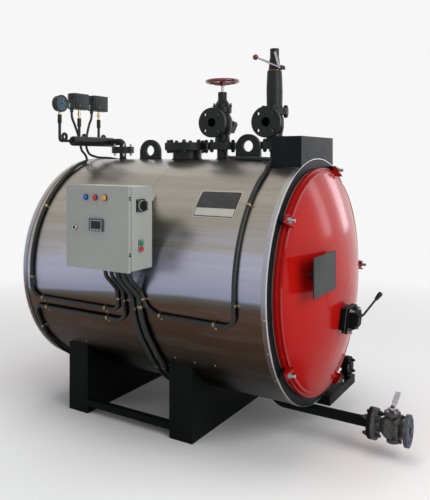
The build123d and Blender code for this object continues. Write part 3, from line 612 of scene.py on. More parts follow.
def lampFinish():
    # blue, red and amber lenses from left to right, each in a dark ring of painted shade where it lies on
    # the door
    shadeRingDepth = 0.0062
    made = Finish("lampLens", coat=0.4, coatRoughness=0.06, specular=0.3)
    # painted shade: the foot of each lens, next to the door, is dark
    ring = made.y > panel["frontY"] - shadeRingDepth
    left = made.x < panel["lampX"] - panel["lampPitch"] / 2
    right = made.x > panel["lampX"] + panel["lampPitch"] / 2
    lens = made.mix(left, made.mix(right, tint(176, 20, 32), tint(232, 146, 12)), tint(0, 84, 176))
    facets = made.noise(300.0, 2.0, 0.5)
    made.set(colour=made.mix(ring, lens, tint(30, 30, 32)), roughness=made.spread(facets, 0.10, 0.22))
    made.set(normal=made.bump(facets, 0.0004, 0.4))
    return made.material


def buttonFinish():
    # green cap over the red one, on a grey plate
    plateX = -0.0482
    made = Finish("buttonCaps", coat=0.4, coatRoughness=0.1, specular=0.3)
    caps = made.mix(made.z > panel["buttonZ"], tint(196, 30, 36), tint(18, 130, 92))
    grain = made.noise(220.0)
    made.set(colour=made.mix(made.x > plateX, tint(118, 120, 112), caps))
    made.set(roughness=made.spread(grain, 0.25, 0.42), normal=made.bump(grain, 0.0004, 0.4))
    return made.material


def nameplateFinish():
    # bare plate: light border, dark field and a light strip along the foot
    look = {"border": 0.004, "borderTurn": 0.4, "stripIn": 0.008, "strip": (0.9, 4.9), "softTurn": 0.05}
    made = Finish("barePlate", specular=0.4)
    angle = made.shellAngle()
    left, right = nameplate["x"]
    low, high = nameplate["angle"]
    field = made.band(angle, low + look["borderTurn"], high - look["borderTurn"], look["softTurn"])
    inside = made.band(made.x, left + look["border"], right - look["border"]) * field
    foot, top = look["strip"]
    strip = made.band(angle, low + foot, low + top, look["softTurn"])
    strip = made.band(made.x, left + look["stripIn"], right - look["stripIn"]) * strip
    scuffs = made.noise(30.0, 4.0, 0.7, (0.6, 2.0, 2.0))
    dark = made.mix(made.spread(scuffs, 0.0, 0.35, 0.5, 0.8), tint(30, 31, 31), tint(90, 88, 84))
    light = made.mix(made.spread(scuffs, 0.0, 0.5), tint(176, 172, 164), tint(140, 136, 128))
    made.set(colour=made.mix(inside, light, made.mix(strip, dark, light)))
    made.set(roughness=made.spread(scuffs, 0.3, 0.5), normal=made.bump(scuffs, 0.0003, 0.3))
    return made.material


def shadedDialFinish():
    # the dial face is painted in shade: a dark grey-blue in place of its pale colour
    made = Finish("gaugeDial", specular=0.15)
    cloud = made.noise(40.0, 3.0, 0.5)
    made.set(colour=made.mix(made.spread(cloud, 0.0, 0.6), tint(60, 78, 90), tint(50, 68, 80)))
    made.set(roughness=made.spread(cloud, 0.4, 0.55), normal=made.bump(cloud, 0.0001, 0.2))
    return made.material


def glassFinish():
    made = Finish("gaugeGlass", specular=0.2)
    film = made.noise(30.0, 3.0, 0.5)
    made.set(colour=tint(150, 178, 192))
    made.set(roughness=made.spread(film, 0.03, 0.08), alpha=made.spread(film, 0.03, 0.06))
    return made.material


def screenFinish():
    # dark window with a light bezel round it, in a grey case
    look = {"windowHalf": 0.031, "windowZ": (-0.019, 0.0195), "bezelHalf": 0.0355, "bezelZ": 0.0235}
    made = Finish("readout", coat=0.15, coatRoughness=0.08, specular=0.2)
    side = abs(made.x - panel["readoutX"])
    rise = made.z - panel["readoutZ"]
    window = made.band(side, -0.1, look["windowHalf"]) * made.band(rise, *look["windowZ"])
    bezel = made.band(side, -0.1, look["bezelHalf"]) * made.band(abs(rise), -0.1, look["bezelZ"])
    speckle = made.noise(150.0, 3.0, 0.6)
    case = made.mix(bezel, tint(56, 64, 70), tint(140, 148, 158))
    glass = made.mix(made.spread(speckle, 0.0, 0.4), tint(12, 14, 22), tint(26, 29, 44))
    made.set(colour=made.mix(window, case, glass), roughness=made.spread(speckle, 0.2, 0.35))
    made.set(normal=made.bump(speckle, 0.0002, 0.3))
    return made.material


def makeFinishes():
    finishes.update({
        "cladding": claddingFinish(),
        "trim": trimFinish(),
        "slate": paintFinish("slatePaint", tint(21, 26, 29), tint(16, 20, 22), tint(34, 39, 42),
                             (0.36, 0.52), specular=0.07),
        "black": paintFinish("blackPaint", tint(11, 14, 13), tint(16, 18, 18), tint(32, 35, 35),
                             (0.38, 0.56), specular=0.06),
        "castBlack": paintFinish("blackCastPaint", tint(15, 18, 19), tint(22, 25, 26), tint(42, 46, 48),
                                 (0.32, 0.5), specular=0.25, dust=0.3, peel=0.0016, grainScale=170.0),
        "soot": paintFinish("flueSoot", tint(8, 8, 8), tint(14, 13, 12), tint(20, 19, 18),
                            (0.8, 0.95), specular=0.05),
        "red": redFinish(),
        "wheel": wheelFinish(),
        "steel": steelFinish("nutSteel", tint(170, 172, 175), tint(104, 102, 99), (0.28, 0.45)),
        "chrome": steelFinish("leverChrome", tint(186, 186, 192), tint(120, 112, 118), (0.14, 0.28), 0.5),
        "darkSteel": steelFinish("darkBolts", tint(70, 72, 74), tint(36, 36, 36), (0.36, 0.52)),
        "clip": steelFinish("clipZinc", tint(150, 138, 112), tint(96, 84, 64), (0.3, 0.45)),
        "brass": steelFinish("brassFittings", tint(190, 176, 132), tint(140, 120, 80), (0.24, 0.4)),
        "cast": castFinish(),
        "gasket": mouldedFinish("gasketFibre", tint(150, 145, 134), tint(120, 115, 106), (0.7, 0.85)),
        "plastic": mouldedFinish("blackPlastic", tint(20, 20, 21), tint(32, 32, 33), (0.38, 0.55)),
        "switch": mouldedFinish("switchGrey", tint(34, 39, 41), tint(28, 32, 34), (0.38, 0.52)),
        "switchDark": mouldedFinish("switchDark", tint(34, 37, 39), tint(26, 28, 30), (0.35, 0.5)),
        "cream": mouldedFinish("coverCream", tint(150, 148, 140), tint(126, 124, 116), (0.35, 0.5)),
        "silver": mouldedFinish("silverLegend", tint(176, 180, 184), tint(150, 154, 158), (0.3, 0.45)),
        "dialInk": mouldedFinish("dialInk", tint(34, 45, 53), tint(40, 51, 59), (0.45, 0.6), specular=0.1),
        "conduit": mouldedFinish("conduitRubber", tint(22, 25, 25), tint(32, 35, 35), (0.36, 0.5),
                                 grainScale=420.0, specular=0.35),
        "panel": panelFinish(),
        "lamp": lampFinish(),
        "button": buttonFinish(),
        "readout": screenFinish(),
        "nameplate": nameplateFinish(),
        "dial": shadedDialFinish(),
        "glass": glassFinish(),
    })


def dressNodes():
    wears = {
        "cladding": ["shell"],
        "trim": ["trim_bands"],
        "slate": ["rear_plate", "front_plate", "flue_box"],
        "red": ["rear_door", "front_door"],
        "gasket": ["door_gaskets"],
        "black": ["hatch_frame", "hatch_cover", "saddles", "tie_bars", "blowdown_pipe", "feed_bearer",
                  "feed_pipe"],
        "castBlack": ["stop_valve_body", "stop_valve_bonnet", "safety_valve_body", "safety_valve_housing",
                      "safety_valve_cap", "gauge_manifold", "siphons", "level_probe", "handhole_neck",
                      "handhole_cover", "crown_nozzles", "lifting_eyes", "door_plate"],
        "steel": ["clamp_studs", "stop_stem", "panel_lock"],
        "darkSteel": ["hatch_handle"],
        "chrome": ["safety_lever", "ball_valve_lever"],
        "wheel": ["stop_handwheel", "safety_valve_collar", "safety_lever_ball"],
        "cast": ["ball_valve"],
        "brass": ["gauge_fittings"],
        "plastic": ["hatch_knob", "level_probe_head", "pressure_gauge", "isolator_plate", "isolator_knob"],
        "switch": ["pressure_switches"],
        "cream": ["switch_covers"],
        "panel": ["panel_box", "panel_door", "panel_brackets"],
        "lamp": ["panel_lamps"],
        "button": ["push_buttons"],
        "readout": ["controller"],
        "conduit": ["conduits", "switch_cables"]}
    for finish, names in wears.items():
        for name in names:
            mesh = cadNodes[name].data
            mesh.materials.clear()
            mesh.materials.append(finishes[finish])


# nuts and studs of the flanged joints

def nutGrowth():
    made = Growth("nutAndStud", nutRadius=0.0132, nutHeight=0.012, studRadius=0.0078, studEnd=0.009,
                  washer=0.0022)
    shape = {"washerOver": 1.12, "chamferOver": 0.84, "chamferHeight": 0.0012}
    labels = ("nutRadius", "nutHeight", "washer")
    nutRadius, nutHeight, washer = [made.size(label) for label in labels]
    top = washer + nutHeight
    disc = made.drum(16, nutRadius * shape["washerOver"], washer)
    nut = made.drum(6, nutRadius, nutHeight, washer)
    chamfer = made.drum(12, nutRadius * shape["chamferOver"], shape["chamferHeight"], top)
    stud = made.drum(12, made.size("studRadius"), made.size("studEnd"), top)
    return made.end(made.placed(made.joined(disc, nut, chamfer, stud)))


def boltCircle(centre, circle, count, first, seats, size):
    # spots round a bolt circle at each seat's height, turned over where the seat is below the joint
    spots = []
    for k in range(count):
        around = turned(first + 360 * k / count, "Z") @ at(circle / 2, 0, 0)
        for seat in seats:
            over = turned(180 if seat < 0 else 0, "X")
            spots.append(centre @ around @ at(0, 0, seat) @ over @ sized(size))
    return spots


def makeBolts():
    nuts = nutGrowth()
    joints = {"handholeZ": 1.488, "housingZ": 1.671, "gaugeZ": 1.473, "bonnetZ": 1.694, "glandZ": 0.2155,
              "feed": (0.5595, 0.430, 0.2358), "hatch": (0.053, 0.050, 0.045), "hatchNut": 0.62}
    stop = at(crown["stopX"], 0, crown["jointZ"])
    safety = at(crown["safetyX"], 0, crown["jointZ"])
    handhole = at(crown["handholeX"], 0, joints["handholeZ"])
    housing = at(crown["safetyX"], 0, joints["housingZ"])
    spots = boltCircle(stop, circle=0.125, count=4, first=45, seats=(0.020, -0.020), size=0.84)
    spots += boltCircle(safety, circle=0.110, count=4, first=45, seats=(0.020, -0.020), size=0.84)
    spots += boltCircle(handhole, circle=0.224, count=8, first=22.5, seats=(0.023, -0.020), size=0.9)
    spots += boltCircle(housing, circle=0.118, count=4, first=20, seats=(0.016, -0.018), size=0.9)
    grow("crownNuts", spots, nuts, "castBlack", "boiler", "black_paint", studEnd=0.005)

    gauge = at(crown["gaugeX"], 0, joints["gaugeZ"])
    spots = boltCircle(gauge, circle=0.100, count=4, first=45, seats=(0.020, -0.020), size=0.66)
    grow("gaugeNozzleNuts", spots, nuts, "steel", "boiler", "steel", studEnd=0.014)

    bonnet = at(crown["stopX"], 0, joints["bonnetZ"])
    spots = boltCircle(bonnet, circle=0.093, count=6, first=30, seats=(0.016,), size=0.62)
    grow("bonnetNuts", spots, nuts, "castBlack", "boiler", "black_paint", studEnd=0.020)

    line = at(blowdown["jointX"], blowdown["y"], blowdown["z"]) @ toRear
    spots = boltCircle(line, circle=0.110, count=4, first=45, seats=(0.018, -0.018), size=0.95)
    grow("blowdownNuts", spots, nuts, "darkSteel", "boiler", "steel", studEnd=0.012)

    feed = at(*joints["feed"]) @ toRear
    spots = boltCircle(feed, circle=0.085, count=4, first=45, seats=(0.017, -0.017), size=0.72)
    grow("feedNuts", spots, nuts, "darkSteel", "boiler", "steel")

    spots = boltCircle(ringPlace(), circle=0.120, count=4, first=45, seats=(0.0, -0.0205), size=0.66)
    grow("splitRingNuts", spots, nuts, "darkSteel", "boiler", "steel", studEnd=0.005)

    gland = at(blowdown["stemX"], blowdown["y"], joints["glandZ"])
    spots = boltCircle(gland, circle=0.050, count=4, first=45, seats=(0.0,), size=0.6)
    grow("glandNuts", spots, nuts, "steel", "boiler", "steel", studEnd=0.003)

    hatch = hatchPlace()
    wide, high, out = joints["hatch"]
    spots = [hatch @ at(sx * wide, sy * high, out) @ sized(joints["hatchNut"])
             for sx in (-1, 1) for sy in (-1, 1)]
    grow("hatchNuts", spots, nuts, "steel", "boiler", "steel", studEnd=0.020)


def ringPlace():
    # rear face of the ring that joins the two halves of the ball valve
    return at(blowdown["ringX"], blowdown["y"], blowdown["z"]) @ toRear


def hatchPlace():
    # foot of the hatch on the dished door, square to the dish
    hatch = {"drop": 0.174, "sphereR": 1.4800, "apexX": 0.6865}
    tilt = math.degrees(math.asin(hatch["drop"] / hatch["sphereR"]))
    foot = hatch["apexX"] - hatch["sphereR"] + math.sqrt(hatch["sphereR"] ** 2 - hatch["drop"] ** 2)
    return at(foot, 0, boiler["axisZ"] - hatch["drop"]) @ turned(90 + tilt, "Y")


# clips, glands and rivets

def makeClips():
    made = Growth("conduitClip", tube=0.0116, width=0.011, sheet=0.0014, foot=0.017)
    shape = {"footDrop": -0.93, "screwRadius": 0.0038, "screwSqueeze": 0.6, "screwUp": 0.0010}
    tube, width, sheet, foot = [made.size(label) for label in ("tube", "width", "sheet", "foot")]
    arc = made.node("GeometryNodeCurveArc", None, {"Resolution": 12, "Radius": tube, "Start Angle": 0.0,
                                                   "Sweep Angle": math.pi})
    profile = made.node("GeometryNodeCurvePrimitiveQuadrilateral", None, {"Width": sheet, "Height": width})
    hoop = made.moved(made.swept(arc, profile), turn=(math.pi / 2, 0.0, 0.0))
    legs = [made.cube(sheet, width, tube, (tube * side, 0.0, tube * -0.5)) for side in (-1.0, 1.0)]
    footZ = tube * shape["footDrop"]
    tab = made.cube(foot, width, sheet, (tube + foot * 0.5, 0.0, footZ))
    screw = made.dome(shape["screwRadius"], shape["screwSqueeze"], footZ + shape["screwUp"], 10)
    screwAt = made.moved(screw, (tube + foot * 0.55, 0.0, 0.0))
    made.end(made.placed(made.joined(hoop, *legs, tab, screwAt)))

    # each clip: x, angle up the shell, and how far out the middle of its conduit lies
    thin, thick = 0.0108, 0.0143
    along = [(-0.8075, -13.3, thin), (-0.3635, -13.3, thin), (-0.3615, -18.2, thin),
             (-0.7905, -18.2, thin), (-0.0195, -12.3, thin), (0.2805, -12.5, thin)]
    upright = [(-0.8775, -3, thin), (-0.8775, 34, thin), (-0.8830, -31, thin), (-0.2710, -7.5, thin),
               (-0.2345, -8, thin), (-0.1715, -11, thick), (-0.1315, -9.5, thick), (-0.1105, -5.8, thin),
               (-0.1500, -44, thick), (-0.1045, -44, thick), (0.3885, -3, thin), (0.3885, 40, thin)]
    spots = [onShell(x, angle, out) @ turned(-90, "Z") @ sized(out / thin) for x, angle, out in along]
    spots += [onShell(x, angle, out) @ sized(out / thin) for x, angle, out in upright]
    grow("conduitClips", spots, made, "clip", "boiler", "steel")


def makeGlands():
    made = Growth("cableGland", hexRadius=0.0175, hexHeight=0.009, domeRadius=0.0150, domeHeight=0.012)
    shape = {"neckOver": 0.92, "neckHeight": 0.003, "lipOver": 0.94, "lipSqueeze": 0.42, "lipUp": 0.002}
    glands = {"xs": (-0.2755, -0.2375, -0.1975, -0.1605, -0.1265), "y": -0.718, "z": 0.8947,
              "sizes": (1.0, 1.0, 1.2, 1.2, 1.0)}
    labels = ("hexHeight", "domeRadius", "domeHeight")
    hexHeight, radius, domeHeight = [made.size(label) for label in labels]
    base = made.drum(6, made.size("hexRadius"), hexHeight)
    neck = made.drum(18, radius * shape["neckOver"], shape["neckHeight"], hexHeight)
    cap = made.drum(18, radius, domeHeight, hexHeight + shape["neckHeight"])
    lipZ = hexHeight + domeHeight + shape["lipUp"]
    lip = made.dome(radius * shape["lipOver"], shape["lipSqueeze"], lipZ, 18)
    made.end(made.placed(made.joined(base, neck, cap, lip)))
    spots = [at(x, glands["y"], glands["z"]) @ turned(180, "X") @ sized(size)
             for x, size in zip(glands["xs"], glands["sizes"])]
    grow("cableGlands", spots, made, "plastic", "boiler", "black_plastic")


def makeRivets():
    made = Growth("rivetHead", radius=0.0048, squeeze=0.45)
    made.end(made.placed(made.dome(made.size("radius"), made.size("squeeze"))))
    rivets = {"perBand": 24, "inset": 0.014, "out": 0.0033, "radius": 0.0040,
              "jacket": [(-0.732, -40.7), (-0.603, -38.4), (-0.009, -36.4), (0.105, -37.0),
                         (0.222, -36.2)]}
    spots = [onShell(x, angle) for x, angle in rivets["jacket"]]
    step = 360 / rivets["perBand"]
    for x in (boiler["rearX"] - rivets["inset"], boiler["frontX"] + rivets["inset"]):
        middle = at(x, 0, boiler["axisZ"])
        reach = at(0, 0, boiler["shellR"] + rivets["out"])
        spots += [middle @ turned(step * (k + 0.5), "X") @ reach for k in range(rivets["perBand"])]
    grow("bandRivets", spots, made, "steel", "boiler", "steel", radius=rivets["radius"])


# weld beads round what stands on the crown

def makeWelds():
    made = Growth("weldBead", bead=0.0046, pitch=0.0045, squeeze=0.6)
    line = made.node("GeometryNodeMeshToCurve", None, {0: made.spots})
    points = made.node("GeometryNodeResampleCurve", {"mode": "LENGTH"}, {"Curve": line,
                                                                         "Length": made.size("pitch")})
    bead = made.dome(made.size("bead"), made.size("squeeze"), segments=8, rings=5)
    made.end(made.node("GeometryNodeInstanceOnPoints", None, {"Points": points, "Instance": bead}))
    welds = {"out": 0.001, "eyes": (-0.5125, 0.1475), "eyeLong": 0.075, "eyeWide": 0.0125,
             "necks": {"stopX": 0.033, "safetyX": 0.027, "gaugeX": 0.024, "handholeX": 0.087}}
    spots, edges = [], []

    def closedLine(points):
        first = len(spots)
        spots.extend(at(x, y, shellHeight(y) + welds["out"]) for x, y in points)
        edges.extend((first + k, first + (k + 1) % len(points)) for k in range(len(points)))

    long, wide = welds["eyeLong"], welds["eyeWide"]
    for x in welds["eyes"]:
        closedLine([(x - long, -wide), (x + long, -wide), (x + long, wide), (x - long, wide)])
    turns = [math.pi * k / 16 for k in range(32)]
    for neck, radius in welds["necks"].items():
        closedLine([(crown[neck] + radius * math.cos(a), radius * math.sin(a)) for a in turns])
    grow("crownWelds", spots, made, "black", "boiler", "black_paint", edges=edges)


# handwheel of the stop valve: a dished wheel with curved spokes

def makeHandwheel():
    made = Growth("spokedWheel", wheelRadius=0.0865, rimRadius=0.0098, spokes=5, spokeRadius=0.0068,
                  hubRadius=0.0165)
    # each drum of the hub: share of its radius, height and foot; each bend: share of the wheel, y and z
    wheel = {"z": 1.854, "firstSpoke": 0.31, "hub": (1.0, 0.026, -0.025), "collar": (1.25, 0.006, -0.011),
             "nut": (0.72, 0.009, 0.001), "spokeFoot": (0.010, 0.0, -0.012),
             "bends": ((0.55, 0.010, -0.020), (0.72, 0.008, -0.002))}
    labels = ("wheelRadius", "spokes", "hubRadius")
    wheelRadius, spokes, hubRadius = [made.size(label) for label in labels]
    rim = made.swept(made.circle(72, wheelRadius), made.circle(16, made.size("rimRadius")))
    nearHub, nearRim = [made.vector(wheelRadius * share, y, z) for share, y, z in wheel["bends"]]
    arm = made.node("GeometryNodeCurvePrimitiveBezierSegment", None, {
        "Resolution": 12, "Start": wheel["spokeFoot"], "Start Handle": nearHub, "End Handle": nearRim,
        "End": made.vector(wheelRadius, 0.0, 0.0)})
    spoke = made.swept(arm, made.circle(12, made.size("spokeRadius")))
    centre = made.node("GeometryNodePoints", None, {"Count": spokes})
    step = made.num(made.node("GeometryNodeInputIndex")) / spokes * (2 * math.pi) + wheel["firstSpoke"]
    spin = made.node("FunctionNodeEulerToRotation", None, {0: made.vector(0.0, 0.0, step)})
    arms = made.node("GeometryNodeInstanceOnPoints", None, {"Points": centre, "Instance": spoke,
                                                            "Rotation": spin})
    drums = [made.drum(sides, hubRadius * wheel[part][0], *wheel[part][1:])
             for part, sides in (("hub", 32), ("collar", 32), ("nut", 6))]
    made.end(made.placed(made.joined(rim, arms, *drums)))
    spot = at(crown["stopX"], 0, wheel["z"])
    piece = grow("stopHandwheel", [spot], made, "wheel", "handwheel", "wheel_red")
    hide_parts("stop_handwheel")


# pressure gauge: dial, ticks, figures, pointer and glass

def makeGauge():
    # heights are along the dial's own axis, from the face of the gauge's case
    gauge = {"place": (-0.8605, -0.412, 1.742), "radius": 0.0445, "dial": (0.0004, 0.0016),
             "from": 225, "sweep": 270, "ticks": 40, "tickRing": 0.90, "tickZ": 0.0018,
             "figures": 5, "figureStep": 4, "figureHeight": 0.0088, "figureRing": 0.64, "figureZ": 0.0017,
             "pointer": (0.042, 0.0018, 0.0008), "pointerAt": (0.012, 0, 0.0040), "pointerBack": 6}
    face = at(*gauge["place"]) @ Matrix(((0, 0, 1, 0), (1, 0, 0, 0), (0, 1, 0, 0), (0, 0, 0, 1)))
    r = gauge["radius"]
    Solid().disc(r, *gauge["dial"], face).end("gaugeDial", "dial", slot="display")

    tick = {"long": 0.0052, "wide": 0.0010}
    ticks = Growth("dialTick", **tick)
    ticks.end(ticks.placed(ticks.cube(ticks.size("long"), ticks.size("wide"), 0.0004)))
    spots = []
    for k in range(gauge["ticks"] + 1):
        turn = turned(gauge["from"] - gauge["sweep"] * k / gauge["ticks"], "Z")
        size = 1.0 if k % 10 == 0 else 0.75 if k % 5 == 0 else 0.5
        reach = at(r * gauge["tickRing"] - tick["long"] / 2 * size, 0, gauge["tickZ"])
        spots.append(face @ turn @ reach @ Matrix.Diagonal((size, 1.5 * size, 1.0, 1.0)))
    grow("gaugeTicks", spots, ticks, "dialInk", "boiler", "black_plastic")

    marks = Solid()
    ring = r * gauge["figureRing"]
    for k in range(gauge["figures"]):
        angle = math.radians(gauge["from"] - gauge["sweep"] * k / (gauge["figures"] - 1))
        place = face @ at(ring * math.cos(angle), ring * math.sin(angle), gauge["figureZ"])
        marks.text(str(gauge["figureStep"] * k), gauge["figureHeight"], place)
    needle = face @ turned(gauge["from"] - gauge["pointerBack"], "Z")
    marks.block(gauge["pointer"], needle @ at(*gauge["pointerAt"]), 0.0)
    marks.lathe([(0, 0.0016), (0.0042, 0.0016), (0.0042, 0.0052), (0.0028, 0.0062), (0, 0.0062)], face, 24)
    marks.end("gaugeMarks", "dialInk", slot="black_plastic")
    glass = [(0, 0.0068), (r * 0.995, 0.0068), (r * 0.995, 0.0076), (r * 0.6, 0.0086), (0, 0.0090)]
    Solid().lathe(glass, face, 64).end("gaugeGlass", "glass", slot="display")


# nameplate, and what stands on the panel's door and side

def makeNameplate():
    rivets = {"radius": 0.0030, "squeeze": 0.5, "inset": 0.008, "insetTurn": 0.8}
    left, right = nameplate["x"]
    low, high = nameplate["angle"]
    under, top = nameplate["out"]

    def point(out):
        return lambda u, v: onShell(left + (right - left) * u, low + (high - low) * v, out).translation

    Solid().sheet(2, 16, point(top), point(under)).end("nameplate", "nameplate", slot="display")
    made = Growth("plateRivet", radius=rivets["radius"])
    made.end(made.placed(made.dome(made.size("radius"), rivets["squeeze"])))
    spots = [onShell(x, angle, top) for x in (left + rivets["inset"], right - rivets["inset"])
             for angle in (low + rivets["insetTurn"], high - rivets["insetTurn"])]
    grow("plateRivets", spots, made, "steel", "boiler", "steel")


def makeReadout():
    readout = {"size": (0.087, 0.059, 0.0090), "middleZ": 0.0047, "round": 0.0022,
               "keys": (-0.030, -0.010, 0.010, 0.030), "keyY": -0.0262, "keyZ": 0.0094}
    face = at(panel["readoutX"], panel["frontY"], panel["readoutZ"]) @ toPanel
    made = Solid().block(readout["size"], face @ at(0, 0, readout["middleZ"]), readout["round"], 3)
    made.end("readout", "readout", "panel_door", "display", replaces=["controller"])
    keys = Growth("readoutKey", wide=0.0090, high=0.0042, thick=0.0012)
    keys.end(keys.placed(keys.cube(*[keys.size(label) for label in ("wide", "high", "thick")])))
    spots = [face @ at(x, readout["keyY"], readout["keyZ"]) for x in readout["keys"]]
    grow("readoutKeys", spots, keys, "silver", "panel_door", "display")


def makeLock():
    lock = {"x": -0.3775, "z": 1.086, "barrel": 0.0083, "barrelZ": (0.0002, 0.0070), "hole": 0.0085,
            "bow": (0.0030, 0.0125, 0.0030), "bowZ": 0.0082, "bowTurn": 20}
    place = at(lock["x"], panel["frontY"], lock["z"]) @ toPanel
    hole = lock["hole"]
    rose = Solid().lathe([(hole, 0.0002), (0.0140, 0.0002), (0.0140, 0.0060), (0.0125, 0.0085),
                          (hole, 0.0085), (hole, 0.0002)], place, 40)
    rose.end("lockRose", "chrome", "panel_door", "chrome", replaces=["panel_lock"])
    barrel = Solid().disc(lock["barrel"], *lock["barrelZ"], place, 32)
    barrel.block(lock["bow"], place @ turned(lock["bowTurn"], "Z") @ at(0, 0, lock["bowZ"]), 0.0006)
    barrel.end("lockBarrel", "plastic", "panel_door", "black_plastic")


def makePanelSide():
    # legend ring and pointer of the isolator, and the screws of both plates on the panel's side
    isolator = {"ring": (0.0085, 0.0255), "ringZ": (0.0079, 0.0094), "mark": (0.002, 0.0035, 0.0004),
                "markAt": (0, 0.0185, 0.0382), "screws": (0.025, 0.028, 0.0082)}
    buttons = {"screwX": 0.027, "screwZ": 0.0064, "screwSize": 0.8}
    side = at(panel["sideX"], panel["sideY"], panel["isolatorZ"]) @ toRear
    inner, outer = isolator["ring"]
    low, high = isolator["ringZ"]
    ring = [(inner, low), (outer, low), (outer, high), (inner, high), (inner, low)]
    Solid().lathe(ring, side, 40).end("isolatorDisc", "silver", "boiler", "display")
    mark = Solid().block(isolator["mark"], side @ turned(90, "Z") @ at(*isolator["markAt"]), 0.0)
    mark.end("isolatorMark", "silver", "isolator_knob", "display")
    screws = Growth("panHead", radius=0.0032, squeeze=0.5)
    screws.end(screws.placed(screws.dome(screws.size("radius"), screws.size("squeeze"))))
    x, y, z = isolator["screws"]
    spots = [side @ at(sx * x, sy * y, z) for sx in (-1, 1) for sy in (-1, 1)]
    place = at(panel["sideX"], panel["sideY"], panel["buttonZ"]) @ toRear
    spots += [place @ at(sx * buttons["screwX"], 0, buttons["screwZ"]) @ sized(buttons["screwSize"])
              for sx in (-1, 1)]
    grow("panelScrews", spots, screws, "steel", "boiler", "steel")


# sooted skin on the jacket inside the open flue box

def makeFlueFloor():
    flue = {"x": (0.3955, 0.5355), "half": 0.214, "out": (0.0034, 0.0044)}
    left, right = flue["x"]
    low, high = flue["out"]

    def point(out):
        def made(u, v):
            y = flue["half"] * (2 * v - 1)
            return (left + (right - left) * u, y, shellHeight(y, out))
        return made

    Solid().sheet(1, 20, point(high), point(low)).end("flueFloor", "soot", slot="black_paint")


# covers, windows and knobs of the pressure switches

def makeSwitchFaces():
    box = {"ys": (-0.199, -0.014), "faceX": -0.8930, "footZ": 1.721, "half": 0.069, "high": 0.098}
    cover = {"less": (0.014, 0.020), "thick": 0.0030, "middleZ": 0.0016, "round": 0.0012}
    scale = {"size": (0.007, 0.030, 0.0020), "at": (-0.012, -0.026, 0.0008), "round": 0.0006,
             "back": 0.023, "studAt": (-0.002, 0.028, 0.0)}
    dial = {"at": (0.026, -0.022, 0.0),
            "knob": [(0, 0.0030), (0.0090, 0.0030), (0.0080, 0.0064), (0, 0.0064)]}
    rib = {"count": 6, "pitch": 0.0085, "firstZ": 0.036, "y": 0.010, "out": 0.0034}
    lid = Solid()
    window = Solid()
    knob = Solid()
    middleZ = box["footZ"] + box["high"] / 2
    for y in box["ys"]:
        middle = at(box["faceX"], y, middleZ) @ toRear
        size = (box["high"] - cover["less"][0], 2 * box["half"] - cover["less"][1], cover["thick"])
        lid.block(size, middle @ at(0, 0, cover["middleZ"]), cover["round"])
        side = at(box["faceX"] - scale["back"], y - box["half"], middleZ) @ toPanel
        window.block(scale["size"], side @ at(*scale["at"]), scale["round"])
        window.disc(0.0052, 0.0, 0.0030, side @ at(*scale["studAt"]), 20)
        window.disc(0.0030, 0.0062, 0.0075, middle @ at(*dial["at"]), 16)
        knob.lathe(dial["knob"], middle @ at(*dial["at"]), 24)
    lid.end("switchLids", "switch", "boiler", "switch_grey")
    window.end("switchWindows", "silver", "boiler", "display")
    knob.end("switchKnobs", "switchDark", "boiler", "switch_grey")
    ribs = Growth("lidRib", long=0.092, wide=0.0016, high=0.0014)
    ribs.end(ribs.placed(ribs.cube(*[ribs.size(label) for label in ("wide", "long", "high")])))
    spots = [at(box["faceX"] + rib["out"], y + rib["y"], box["footZ"] + rib["firstZ"] + rib["pitch"] * k)
             @ toRear for y in box["ys"] for k in range(rib["count"])]
    grow("switchRibs", spots, ribs, "switchDark", "boiler", "switch_grey")


# nut, bosses and grip of the ball valve

def makeValveDetails():
    lever = {"nut": [(0, 0.0935), (0.0090, 0.0935), (0.0090, 0.1010), (0.0065, 0.1035), (0, 0.1035)],
             "stop": (0.012, 0.012, 0.010), "stopAt": (0.032, -0.004, 0.071),
             "grip": [(0.044, 0.1055), (0.070, 0.1160), (0.108, 0.1314)], "gripWide": 0.0245,
             "gripThick": 0.0085}
    neck = at(blowdown["stemX"], blowdown["y"], blowdown["z"])
    made = Solid().lathe(lever["nut"], neck, 24)
    made.block(lever["stop"], neck @ at(*lever["stopAt"]), 0.0015)
    made.end("leverNut", "darkSteel", "blowdown_lever", "steel")
    boss = {"ring": 0.060, "outline": [(0, -0.0203), (0.0105, -0.0203), (0.0115, -0.0193),
                                       (0.0115, -0.0012), (0.0105, -0.0002), (0, -0.0002)]}
    bosses = Solid()
    for angle in (45, 135, 225, 315):
        bosses.lathe(boss["outline"], ringPlace() @ turned(angle, "Z") @ at(boss["ring"], 0, 0), 24)
    bosses.end("ringBosses", "cast", slot="cast_grey")
    grip = Solid().strip(lever["grip"], lever["gripWide"], lever["gripThick"], neck @ turned(90, "Z"))
    grip.end("leverSleeve", "chrome", "blowdown_lever", "chrome")


print("stage: finishes")
makeFinishes()
dressNodes()
print("stage: fasteners")
makeBolts()
makeClips()
makeGlands()
makeRivets()
makeWelds()
print("stage: wheel, gauge and plates")
makeHandwheel()
makeGauge()
makeNameplate()
makeReadout()
makeLock()
makePanelSide()
makeFlueFloor()
print("stage: switches and ball valve")
makeSwitchFaces()
makeValveDetails()


# stage, light and camera

